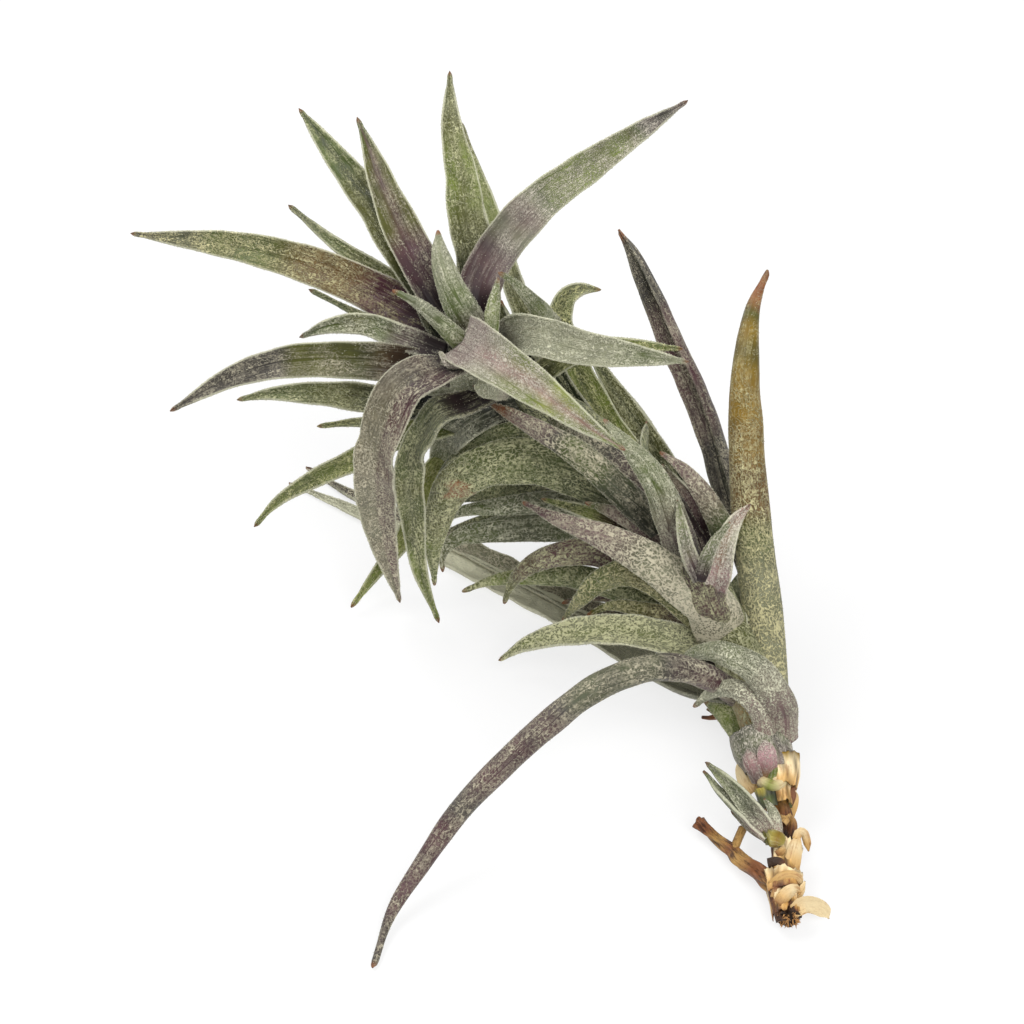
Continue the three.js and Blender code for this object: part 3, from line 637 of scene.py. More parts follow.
@dataclass(frozen=True)
class DryFinish:
    """Dead plant matter: bark of the stub and twig, or the papery leaf sheaths.

    Attributes:
        slot: Slot of the record.
        dark: Colour in the grooves and stains.
        grain: Distance between two fibres, in millimetres.
        stain: How much of the surface is stained, 0 to 1.
        roughness: Roughness of the surface.
        relief: Height of the fibres, in millimetres.
    """

    slot: str
    dark: str
    grain: float
    stain: float
    roughness: float
    relief: float

    def material(self) -> bpy.types.Material:
        """Builds the material.

        Returns:
            The material, whose fibres run along the piece through its UV map.
        """
        material, tree = new_material(self.slot)
        uv = add(tree, "ShaderNodeUVMap", uv_map="skin")
        mm = add(tree, "ShaderNodeVectorMath", {0: uv, "Scale": 1 / MM}, operation="SCALE")
        run = add(tree, "ShaderNodeMapping", {"Vector": mm, "Scale": (0.25, 1 / self.grain, 1.0)})
        fibres = add(tree, "ShaderNodeTexNoise",
                     {"Vector": run, "Scale": 1.0, "Detail": 4.0, "Roughness": 0.65, "Distortion": 0.4})
        stains = add(tree, "ShaderNodeTexNoise",
                     {"Vector": mm, "Scale": 0.45, "Detail": 4.0, "Roughness": 0.6})
        both = add(tree, "ShaderNodeMath", {0: fibres, 1: stains})
        shown = add(tree, "ShaderNodeMapRange",
                    {"Value": both, "From Min": 0.85 + 0.25 * self.stain,
                     "From Max": 0.6 + 0.25 * self.stain}, interpolation_type="SMOOTHSTEP")
        own = add(tree, "ShaderNodeAttribute", attribute_name="pigment")
        tinted = add(tree, "ShaderNodeMix", {0: 1.0, 6: own, 7: linear(self.dark)}, data_type="RGBA",
                     blend_type="MULTIPLY").outputs[2]
        deep = add(tree, "ShaderNodeMath", {0: shown, 1: self.stain}, operation="MULTIPLY")
        colour = add(tree, "ShaderNodeMix", {0: deep, 6: own, 7: tinted}, data_type="RGBA").outputs[2]
        bump = add(tree, "ShaderNodeBump",
                   {"Height": fibres, "Strength": 0.8, "Distance": self.relief * MM})
        surface = add(tree, "ShaderNodeBsdfPrincipled",
                      {"Base Color": colour, "Normal": bump, "Roughness": self.roughness,
                       "Specular IOR Level": 0.4})
        add(tree, "ShaderNodeOutputMaterial", {"Surface": surface})
        return material


BARK = DryFinish("woody_stem", dark="#5a3820", grain=0.42, stain=0.8, roughness=0.5, relief=0.9)
HUSK = DryFinish("dry_sheath", dark="#b07c46", grain=0.34, stain=0.55, roughness=0.45, relief=0.35)


@dataclass(frozen=True)
class TrichomeFinish:
    """A dead air-filled scale that stands up from the leaf and catches the light.

    Attributes:
        name: Name of the material.
        colour: Colour of the scale.
        roughness: Roughness of its thin wall.
    """

    name: str = "standing_trichomes"
    colour: str = "#d2cfb6"
    roughness: float = 0.55

    def material(self) -> bpy.types.Material:
        """Builds the material.

        Returns:
            The material, a little unevenly white from scale to scale.
        """
        material, tree = new_material(self.name)
        place = add(tree, "ShaderNodeTexCoord").outputs["Object"]
        uneven = add(tree, "ShaderNodeTexNoise", {"Vector": place, "Scale": 0.9 / MM, "Detail": 1.0})
        shade = add(tree, "ShaderNodeMapRange", {"Value": uneven, "To Min": 0.6, "To Max": 1.1})
        colour = add(tree, "ShaderNodeVectorMath", {0: linear(self.colour)[:3], "Scale": shade},
                     operation="SCALE")
        surface = add(tree, "ShaderNodeBsdfPrincipled",
                      {"Base Color": colour, "Roughness": self.roughness, "Specular IOR Level": 0.3})
        add(tree, "ShaderNodeOutputMaterial", {"Surface": surface})
        return material


@dataclass(frozen=True)
class Blade:
    """One leaf blade, from its root in the stem to its tip.

    Attributes:
        node: CAD node that the blade belongs to.
        width: Greatest width, in millimetres.
        cup: Angle that its section spans, in degrees.
        face: Direction that its hollow side faces at the root.
        tones: Pigments from root to tip.
        scurf: How thickly scales cover it at the root, halfway and at the tip, 0 to 1.
        route: Points from root to tip, in millimetres.
        tip_face: Direction that the hollow side faces at the tip.
        taper: How late the blade narrows.
        base: Width at the root, as a part of the greatest.
        channel: Pigment of the band down the hollow side.
        burnt: Length of the dead tip, in millimetres.
        thick: Thickness along the keel at the root, in millimetres.
        halves: Pigments that tint one half and the other.
        withered: A dead patch: its place along the blade and across it, and its size in millimetres.
        deep: How far the painted shade at the roots of its group reaches this blade, 0 to 1.
    """

    node: str
    width: float
    cup: float
    face: Point
    tones: str
    scurf: tuple[float, float, float]
    route: tuple[Point, ...]
    tip_face: Point | None = None
    taper: float = 2.8
    base: float = 0.85
    channel: str = ""
    burnt: float = 1.3
    thick: float = BLADE
    halves: tuple[str, str] = ("", "")
    withered: tuple[float, float, float] | None = None
    deep: float = 1.0

    def widths(self, s: Array, length: float) -> Array:
        """Gives the width of the blade along it.

        Args:
            s: Parts of the length at which the width is wanted.
            length: Length of the blade, in millimetres.

        Returns:
            The width at each place, in millimetres.
        """
        flare = self.base + (1 - self.base) * smooth(0, BASE_STRETCH, s)
        full = np.maximum(TIP_WIDTH, self.width * flare * (1 - s**self.taper))
        left = (1 - s) * length
        return full * np.sqrt(np.clip(left / TIP_LENGTH, 0.06, 1))

    def skin(self, index: int, painted_shade: float = 0.0) -> Skin:
        """Lays the skin of this blade.

        Args:
            index: Number of the blade, which seeds its small irregularities.
            painted_shade: How much painted shade darkens the skin and thins its scales and pale rim
                towards the root, 0 to 1.

        Returns:
            The skin, not yet a mesh.
        """
        rng = np.random.default_rng(SEED * 1000 + index)
        route = Route(self.route)
        length = route.length
        s = np.linspace(0, 1, max(14, round(length / ROW_STEP)) + 1)
        s = np.sort(np.concatenate([s, 1 - TIP_ROWS / length]))
        u = np.concatenate([-HALF_WIDTH[:0:-1], HALF_WIDTH])[None, :]
        at = (s * length)[:, None]
        height, wavelength = UNEVEN_WIDTH
        width = self.widths(s, length)[:, None] * (1 + height * wander(rng, at, wavelength))
        side, rise, half, lean, girth = self._section(s, u, width)
        rise = rise + self._waves(rng, s, u, at, width)
        tangent = route.tangents(s)
        root, tip = np.array(self.face, float), np.array(self.tip_face or self.face, float)
        face = root + (tip - root) * s[:, None]
        normal = unit(face - np.sum(face * tangent, 1, keepdims=True) * tangent)
        across = np.cross(tangent, normal)
        centre = route.at(s)
        faces = []
        for sign in (-1, 1):
            x = side - np.sin(lean) * half * sign
            y = rise + np.cos(lean) * half * sign
            offset = across[:, None] * x[..., None] + normal[:, None] * y[..., None]
            faces.append(centre[:, None] + offset)
        spread = np.concatenate([np.zeros((len(s), 1)), np.cumsum(np.diff(u) * girth / 2, axis=1)], 1)
        spread -= spread.mean(1, keepdims=True)
        # Painted shade: colour, scale cover and pale rim grow darker towards the root and stand for the
        # shade in the crown's throat.
        lit = 1 - painted_shade * self.deep * smooth(*PAINTED_SHADE_SPAN, s)
        colour = self._colours(s, u, length, rng) * lit[None, :, None, None]
        values = self._values(s, u, length, width)
        for key in ("scurf", "rim"):
            values[key] = values[key] * lit[None, :, None]
        return Skin(faces[0], faces[1], s * length, spread, colour, values, index * 0.13)

    def _section(self, s: Array, u: Array, width: Array) -> tuple[Array, ...]:
        """Cross-section of the blade at every row: an arc, or a fold where it lies open.

        Args:
            s: Parts of the length.
            u: Places across the blade, -1 at one margin and 1 at the other.
            width: Width of the blade at each row, in millimetres.

        Returns:
            The sideways and the upward place of each point of the middle line, half the thickness
            there, how far the line leans there, in radians, and its length in each row.
        """
        thick = self.thick * (1 + (BLADE_TIP / BLADE - 1) * s)[:, None]
        thick = thick * np.clip(width / THIN_BELOW, LEAST_THICK, 1)
        cup = np.radians(self.cup) * np.minimum(1, width / (FLAT_RATIO * thick))
        radius = width / 2 / np.sin(np.minimum(cup / 2, math.pi / 2))
        middle = radius * np.sin(cup / 2) / (cup / 2)
        depth = radius * (1 - np.cos(cup / 2))
        fold = np.where(cup < math.pi, KEEL, 0.0)
        angle = u * cup / 2
        crease = np.sqrt(u**2 + KEEL_SOFTNESS**2) - KEEL_SOFTNESS
        rise = (1 - fold) * (middle - radius * np.cos(angle)) + fold * (middle - radius + depth * crease)
        side = radius * np.sin(angle)
        lean = angle * (1 - fold) + u / np.sqrt(u**2 + 0.01) * fold * np.arctan2(2 * depth, width)
        half = (thick + (MARGIN / BLADE * self.thick - thick) * u**2) / 2
        beyond = np.clip(np.abs(u) - ROUND_FROM, 0, 1) / (1 - ROUND_FROM)
        half = half * np.sqrt(np.clip(1 - beyond**2, 0, 1))
        return side, rise, half, lean, radius * cup

    def _waves(self, rng: np.random.Generator, s: Array, u: Array, at: Array,
               width: Array) -> Array:
        """Lays wavy margins and dimples.

        Args:
            rng: Source of the blade's irregularities.
            s: Parts of the length.
            u: Places across the blade, -1 at one margin and 1 at the other.
            at: Distance from the root at each row, in millimetres.
            width: Width of the blade at each row, in millimetres.

        Returns:
            How far each point stands up from the even section, in millimetres.
        """
        room = smooth(*WAVES_FROM, s)[:, None] * np.minimum(1, width / FULL_WAVES)
        room = room * (STIFF_WAVES if self.cup > STIFF else 1)
        height, wavelength = WAVY_MARGIN
        left, right = wander(rng, at, wavelength), wander(rng, at, wavelength)
        margin = height * room * np.abs(u) ** 3 * np.where(u < 0, left, right)
        height, wavelength = DIMPLES
        return margin + height * room * wander(rng, at + 4 * u, wavelength)

    def _colours(self, s: Array, u: Array, length: float, rng: np.random.Generator) -> Array:
        """Paints the tones along the blade, then its band, its halves and its dead places.

        Args:
            s: Parts of the length.
            u: Places across the blade, -1 at one margin and 1 at the other.
            length: Length of the blade, in millimetres.
            rng: Source of the blade's irregularities.

        Returns:
            Linear RGB of each point, faces by rows by columns by three.
        """
        at = (s * length)[:, None]
        height, wavelength = STRAY_COLOURS
        stray = height * wander(rng, at + 0 * u, wavelength) + 0.03 * np.abs(u)
        colour = np.repeat(pigment(self.tones, np.clip(s[:, None] + stray, 0, 1))[None], 2, 0)
        if self.channel:
            height, wavelength = STRAY_BAND
            band = np.exp(-(((u + height * wander(rng, at, wavelength)) / BAND_WIDTH) ** 2))
            band = band * smooth(*BAND_FROM, s)[:, None] * BAND_SHARE
            colour[1] += (tint(self.channel) - colour[1]) * band[..., None]
        for name, edge in zip(self.halves, (HALF_EDGE, -HALF_EDGE)):
            if name:
                share = HALF_SHARE * smooth(edge, -edge, u) * smooth(*HALVES_FROM, s)[:, None]
                colour = colour + (tint(name) - colour) * share[None, ..., None]
        if self.withered:
            place, side, size = self.withered
            height, wavelength = RAGGED_PATCH
            away = np.hypot((s[:, None] - place) * length, (u - side) * self.width / 2)
            away = away * (1 + height * wander(rng, at + 5 * u, wavelength))
            patch = smooth(size, size * PATCH_CORE, away)[None, ..., None]
            colour = colour + (tint("rust") * PATCH_SHADE - colour) * patch
        return colour + (tint("rust") - colour) * self._dead(s, length)[..., None]

    def _dead(self, s: Array, length: float) -> Array:
        """How dead the tip is at each row, 0 to 1."""
        return smooth(self.burnt, self.burnt * DEAD_CORE, (1 - s) * length)[:, None]

    def _values(self, s: Array, u: Array, length: float, width: Array) -> dict[str, Array]:
        """Measures what the finish and the standing scales depend on.

        Args:
            s: Parts of the length.
            u: Places across the blade, -1 at one margin and 1 at the other.
            length: Length of the blade, in millimetres.
            width: Width of the blade at each row, in millimetres.

        Returns:
            Scale cover, pale rim and standing scales, each faces by rows by columns.
        """
        dead = self._dead(s, length)
        scurf = np.interp(s, (0, 0.5, 1), self.scurf)[:, None] * (1 - DEAD_BARE * dead) + 0 * u
        near = (1 - np.abs(u)) * width / 2
        open_margin = ROLLED_MARGIN if self.cup > ROLLED else 1.0
        rim = smooth(*RIM, near) * RIM_SHARE * open_margin * (1 - dead) * smooth(*NARROW, width)
        shag = (smooth(*SHAG, near) * open_margin + SHAG_ON_FACE) * (1 - dead)
        shag = shag * smooth(*SHAG_FROM, s)[:, None]
        return {key: np.repeat(value[None], 2, 0) for key, value in
                (("scurf", scurf), ("rim", rim), ("shag", shag))}


@dataclass
class Trichomes:
    """The scales that stand up along the leaf margins and here and there on the skin.

    Attributes:
        per_mm2: Scales on a square millimetre where they stand thickest.
        length: Length of a scale, in millimetres.
        girth: Radius of a scale at its foot, in millimetres.
    """

    per_mm2: float = 9.0
    length: float = 0.22
    girth: float = 0.055

    def tree(self) -> Tree:
        """Builds the Geometry Nodes tree that sows the scales over a mesh.

        Returns:
            The tree, with the sizes, the seed and the material as its inputs.
        """
        tree = bpy.data.node_groups.new("standing_trichomes", "GeometryNodeTree")
        interface = tree.interface
        interface.new_socket("Leaves", in_out="INPUT", socket_type="NodeSocketGeometry")
        for name, kind, value in (("Per square metre", "Float", self.per_mm2 / MM**2),
                                  ("Length", "Float", self.length * MM),
                                  ("Girth", "Float", self.girth * MM), ("Seed", "Int", SEED)):
            socket = interface.new_socket(name, in_out="INPUT", socket_type="NodeSocket" + kind)
            socket.default_value = value
        interface.new_socket("Finish", in_out="INPUT", socket_type="NodeSocketMaterial")
        interface.new_socket("Scales", in_out="OUTPUT", socket_type="NodeSocketGeometry")
        given = add(tree, "NodeGroupInput").outputs
        shag = add(tree, "GeometryNodeInputNamedAttribute", {"Name": "shag"}, data_type="FLOAT")
        dense = add(tree, "ShaderNodeMath", {0: shag, 1: given["Per square metre"]},
                    operation="MULTIPLY")
        sown = add(tree, "GeometryNodeDistributePointsOnFaces",
                   {"Mesh": given["Leaves"], "Density": dense, "Seed": given["Seed"]})
        cone = add(tree, "GeometryNodeMeshCone",
                   {"Vertices": 3, "Radius Bottom": given["Girth"], "Depth": given["Length"]},
                   fill_type="NONE")
        lean = add(tree, "FunctionNodeRandomValue",
                   {0: (-0.9, -0.9, -3.1), 1: (0.9, 0.9, 3.1), "Seed": given["Seed"]},
                   data_type="FLOAT_VECTOR")
        turned = add(tree, "FunctionNodeRotateRotation",
                     {"Rotation": sown.outputs["Rotation"], "Rotate By": lean}, rotation_space="LOCAL")
        size = add(tree, "FunctionNodeRandomValue", {2: 0.5, 3: 1.3, "Seed": given["Seed"]},
                   data_type="FLOAT")
        placed = add(tree, "GeometryNodeInstanceOnPoints",
                     {"Points": sown, "Instance": cone, "Rotation": turned, "Scale": size.outputs[1]})
        real = add(tree, "GeometryNodeRealizeInstances", {"Geometry": placed})
        dressed = add(tree, "GeometryNodeSetMaterial", {"Geometry": real, "Material": given["Finish"]})
        add(tree, "NodeGroupOutput", {"Scales": dressed})
        return tree

    def sow(self, leaves: list[Piece], name: str, tree: Tree,
            finish: bpy.types.Material) -> Piece:
        """Sows scales over some leaves.

        Args:
            leaves: Finished leaves.
            name: Name of the piece.
            tree: The tree of this class.
            finish: Material of the scales.

        Returns:
            One mesh with all the scales.
        """
        copies = []
        for leaf in leaves:
            copy = leaf.copy()
            copy.data = leaf.data.copy()
            copy.parent = None
            bpy.context.scene.collection.objects.link(copy)
            copies.append(copy)
        ground = fused(copies, name + "_ground")
        sower = ground.modifiers.new("scales", "NODES")
        sower.node_group = tree
        for item in tree.interface.items_tree:
            if item.name == "Finish":
                sower[item.identifier] = finish
        shown = ground.evaluated_get(bpy.context.evaluated_depsgraph_get())
        mesh = bpy.data.meshes.new_from_object(shown)
        mesh.name = name
        bpy.data.objects.remove(ground)
        return linked(name, mesh)


@dataclass
class LeafGroup:
    """Leaves that grow from one part of the plant, one piece for each CAD node.

    Attributes:
        name: Name of the group.
        blades: Its blades.
        painted_shade: How much painted shade darkens the blades towards their roots, 0 to 1.
    """

    name: str
    blades: tuple[Blade, ...]
    painted_shade: float

    def build(self, first: int, slots: Slots, materials: Materials) -> list[Piece]:
        """Builds and dresses every leaf.

        Args:
            first: Number of the first blade, which seeds the irregularities.
            slots: Slot of each CAD node, out of the record.
            materials: Material of each slot.

        Returns:
            The finished pieces.
        """
        made: dict[str, list[Piece]] = {}
        for i, blade in enumerate(self.blades):
            part = blade.skin(first + i, self.painted_shade).build(f"{blade.node}_blade")
            part.data.materials.append(materials[slots[blade.node]])
            made.setdefault(blade.node, []).append(part)
        pieces = []
        for node, parts in made.items():
            piece = fused(parts, f"{node}_leaf")
            hand_over(piece, slots[node], node)
            pieces.append(piece)
        return pieces


OLD_LEAVES = (
    Blade("old_leaf_upright", 7, 200, (0.45, 0.6, -0.6),
          "silver silver silver fern sienna gold gold moss umber", (1.5, 0.6, 0),
          taper=4, burnt=3, channel="forest",
          route=((47, -59.5, 11), (46, -50, 17), (44, -38, 28), (43, -31.5, 35),
                 (42.5, -21.5, 43), (42.5, -14.5, 50), (44.5, -2.5, 56), (47.5, 2.5, 61))),
    Blade("old_leaf_leaning", 5.5, 200, (-0.8, -0.5, 0.2),
          "slate dusk dusk dusk plum plum dusk dusk", (0.5, 0.4, 0.35),
          taper=8, burnt=3.5, channel="forest",
          route=((46.5, -36.5, 13), (44.5, -28, 18), (42, -21, 23), (38, -9, 31),
                 (34.5, -0.5, 36), (31, 5.5, 40.5), (28.5, 11, 44), (26, 14.5, 48),
                 (23, 20.5, 51), (20.5, 24, 53))),
    Blade("old_leaf_arching_down", 4.4, 190, (0.3, 0.7, -0.6),
          "mauve plum dusk slate dusk plum dusk plum plum dusk", (0.75, 0.45, 0.4),
          taper=4,
          route=((43, -61, 11), (36, -63, 20), (29.5, -64.5, 25), (23, -66.5, 27),
                 (14.5, -70, 26), (6, -75, 22), (-1, -79.5, 17.5), (-9.5, -86, 11.5),
                 (-16, -93.5, 6), (-21, -101, 2.5), (-24, -111.5, 0.5))),
)

LOWER_LEAVES = (
    Blade("lower_leaf_broad", 9.8, 80, BACK,
          "silver silver frost silver slate mauve mauve plum plum", (2.2, 1.3, 0.2),
          taper=1.5, base=1,
          route=((38.5, -50.5, 19), (35.5, -50.5, 27), (29, -49.5, 33), (23, -47, 36),
                 (16, -43, 37), (8.5, -39, 37), (2, -32.5, 35))),
    Blade("lower_leaf_arched", 6, 90, BACK,
          "moss fern moss fern fern moss", (0.7, 0.75, 0.65),
          taper=2.6,
          route=((34.5, -49, 21), (28.5, -48, 28), (22.5, -45.5, 30), (16.5, -43.5, 26),
                 (12.5, -43, 20), (9.5, -41.5, 13))),
    Blade("lower_leaf_arched_behind", 5.8, 90, BACK,
          "fern fern plum plum maroon moss moss", (0.6, 0.65, 0.6),
          taper=2.6,
          route=((32, -41.5, 19), (22, -38.5, 24), (15.5, -36.5, 26), (9, -36, 25),
                 (3.5, -34, 20), (0, -33, 14), (-1.5, -32.5, 8))),
    Blade("lower_leaf_slim", 5, 90, BACK,
          "forest fern fern fern leaf moss", (0.6, 0.75, 0.7),
          route=((31.5, -41, 14), (18.5, -36.5, 17), (11, -34, 17), (3.5, -32, 15),
                 (-4, -29.5, 11), (-9.5, -28.5, 7))),
    Blade("lower_leaf_folded", 6.3, 110, (0, -0.4, 0.9),
          "mauve silver silver silver silver fern silver", (1.1, 1.5, 1.3),
          taper=3.4, channel="leaf",
          route=((37, -50.5, 15), (29, -51, 18), (21.5, -49, 18), (14.5, -47, 16), (8, -45.5, 13),
                 (2, -43.5, 8), (-2.5, -43.5, 4))),
    Blade("lower_leaf_narrow", 3.3, 80, BACK,
          "wine plum moss fern moss", (0.5, 0.65, 0.6),
          route=((34.5, -45.5, 17), (26, -45, 19), (18.5, -42.5, 18), (14, -42, 15))),
    # Painted shade: this dark, nearly bare blade fills a gap beside the stem, and its dark tones stand
    # for the shade there.
    Blade("lower_leaf_narrow", 4.4, 70, BACK,
          "wine wine plum dusk", (0.1, 0.3, 0.4),
          route=((34.5, -45.5, 17), (29, -39, 11), (22, -33.5, 10.5), (15, -32, 9.5), (9.5, -32, 7.5))),
    Blade("lower_leaf_clasping", 6.3, 100, BACK,
          "rose mauve mauve slate fern fern fern", (0.8, 0.8, 0.8),
          taper=2.6,
          route=((49, -69.5, 11), (47.5, -68.5, 20), (44, -65.5, 25), (38.5, -62, 26),
                 (34, -58.5, 23), (30, -56, 18))),
    Blade("lower_leaf_small_hook", 4.1, 100, BACK,
          "rose mauve mauve slate silver moss", (0.8, 1.0, 0.9),
          taper=2.6,
          route=((46, -71, 13), (44, -68.5, 19), (40.5, -66, 21), (36.5, -63.5, 18), (33, -62, 12))),
    Blade("lower_leaf_left_bract", 6.2, 90, BACK,
          "wine fern leaf leaf fern", (0.5, 0.65, 0.6),
          taper=2.2,
          route=((44.5, -71, 7), (42.5, -66.5, 9), (39.5, -62, 9), (35.5, -56.5, 7))),
)

SHOOT_LEAVES = (
    Blade("shoot_leaf_left_tan", 5.5, 90, BACK,
          "slate slate slate fern fern dusk mauve umber umber", (0.8, 0.75, 0.5),
          taper=2.6,
          route=((27, -37.5, 33), (20, -35, 40), (12.5, -30.5, 45), (5, -26, 47),
                 (-0.5, -21.5, 47), (-5, -16, 45))),
    Blade("shoot_leaf_left_broad", 8.5, 75, BACK,
          "wine plum dusk slate fern", (0.55, 0.7, 0.65),
          taper=2.2,
          route=((32.5, -37.5, 29), (25.5, -31.5, 36), (16, -24, 40), (9, -16, 40), (4.5, -8, 38))),
    Blade("shoot_leaf_up", 6.3, 90, BACK,
          "plum mauve fern fern silver", (0.5, 0.6, 0.65),
          taper=2.6,
          route=((32, -46.5, 32), (28.5, -44, 42), (25.5, -40, 48), (20.5, -35, 52),
                 (16.5, -29.5, 53))),
    Blade("shoot_leaf_up_right", 4.6, 90, BACK,
          "forest fern mauve mauve", (0.5, 0.7, 0.7),
          taper=2.6,
          route=((40, -37, 27), (37.5, -37, 35), (35, -35, 39), (31.5, -31.5, 42), (27, -27.5, 43))),
    Blade("shoot_leaf_inner_purple", 4.1, 90, FRONT,
          "wine wine plum fern", (0.3, 0.4, 0.5), burnt=0.4,
          route=((37, -36.5, 25), (34, -33, 32), (28, -22.5, 35))),
    Blade("shoot_leaf_folded", 4.8, 110, FRONT,
          "rose rose pink silver frost rose umber", (0.8, 1.5, 0.9),
          taper=2.6, channel="umber", deep=0.3,
          route=((36.5, -51, 31), (37.5, -49.5, 40), (39.5, -46.5, 44), (42.5, -43, 45))),
    Blade("shoot_leaf_low_purple", 4, 90, BACK,
          "wine plum mauve mauve fern", (0.5, 0.65, 0.6),
          route=((30, -39, 26), (25.5, -37, 31), (20, -34, 33), (13.5, -30.5, 33))),
    Blade("shoot_leaf_low_green", 3.2, 80, FRONT,
          "wine maroon leaf forest leaf", (0.4, 0.5, 0.5),
          route=((24, -31, 25), (16, -30, 29), (10.5, -28.5, 30), (5.5, -25.5, 29))),
    Blade("shoot_heart", 3, 90, FRONT,
          "plum mauve fern leaf fern", (0.6, 0.65, 0.65), burnt=0.4,
          route=((33.5, -52, 35), (31, -50, 41), (30, -46, 44), (29.5, -42, 45))),
    Blade("shoot_heart", 2.5, 90, BACK,
          "plum fern fern", (0.6, 0.65, 0.65), burnt=0.4,
          route=((33.5, -52, 35), (35.5, -51, 43), (38.5, -48.5, 46))),
)

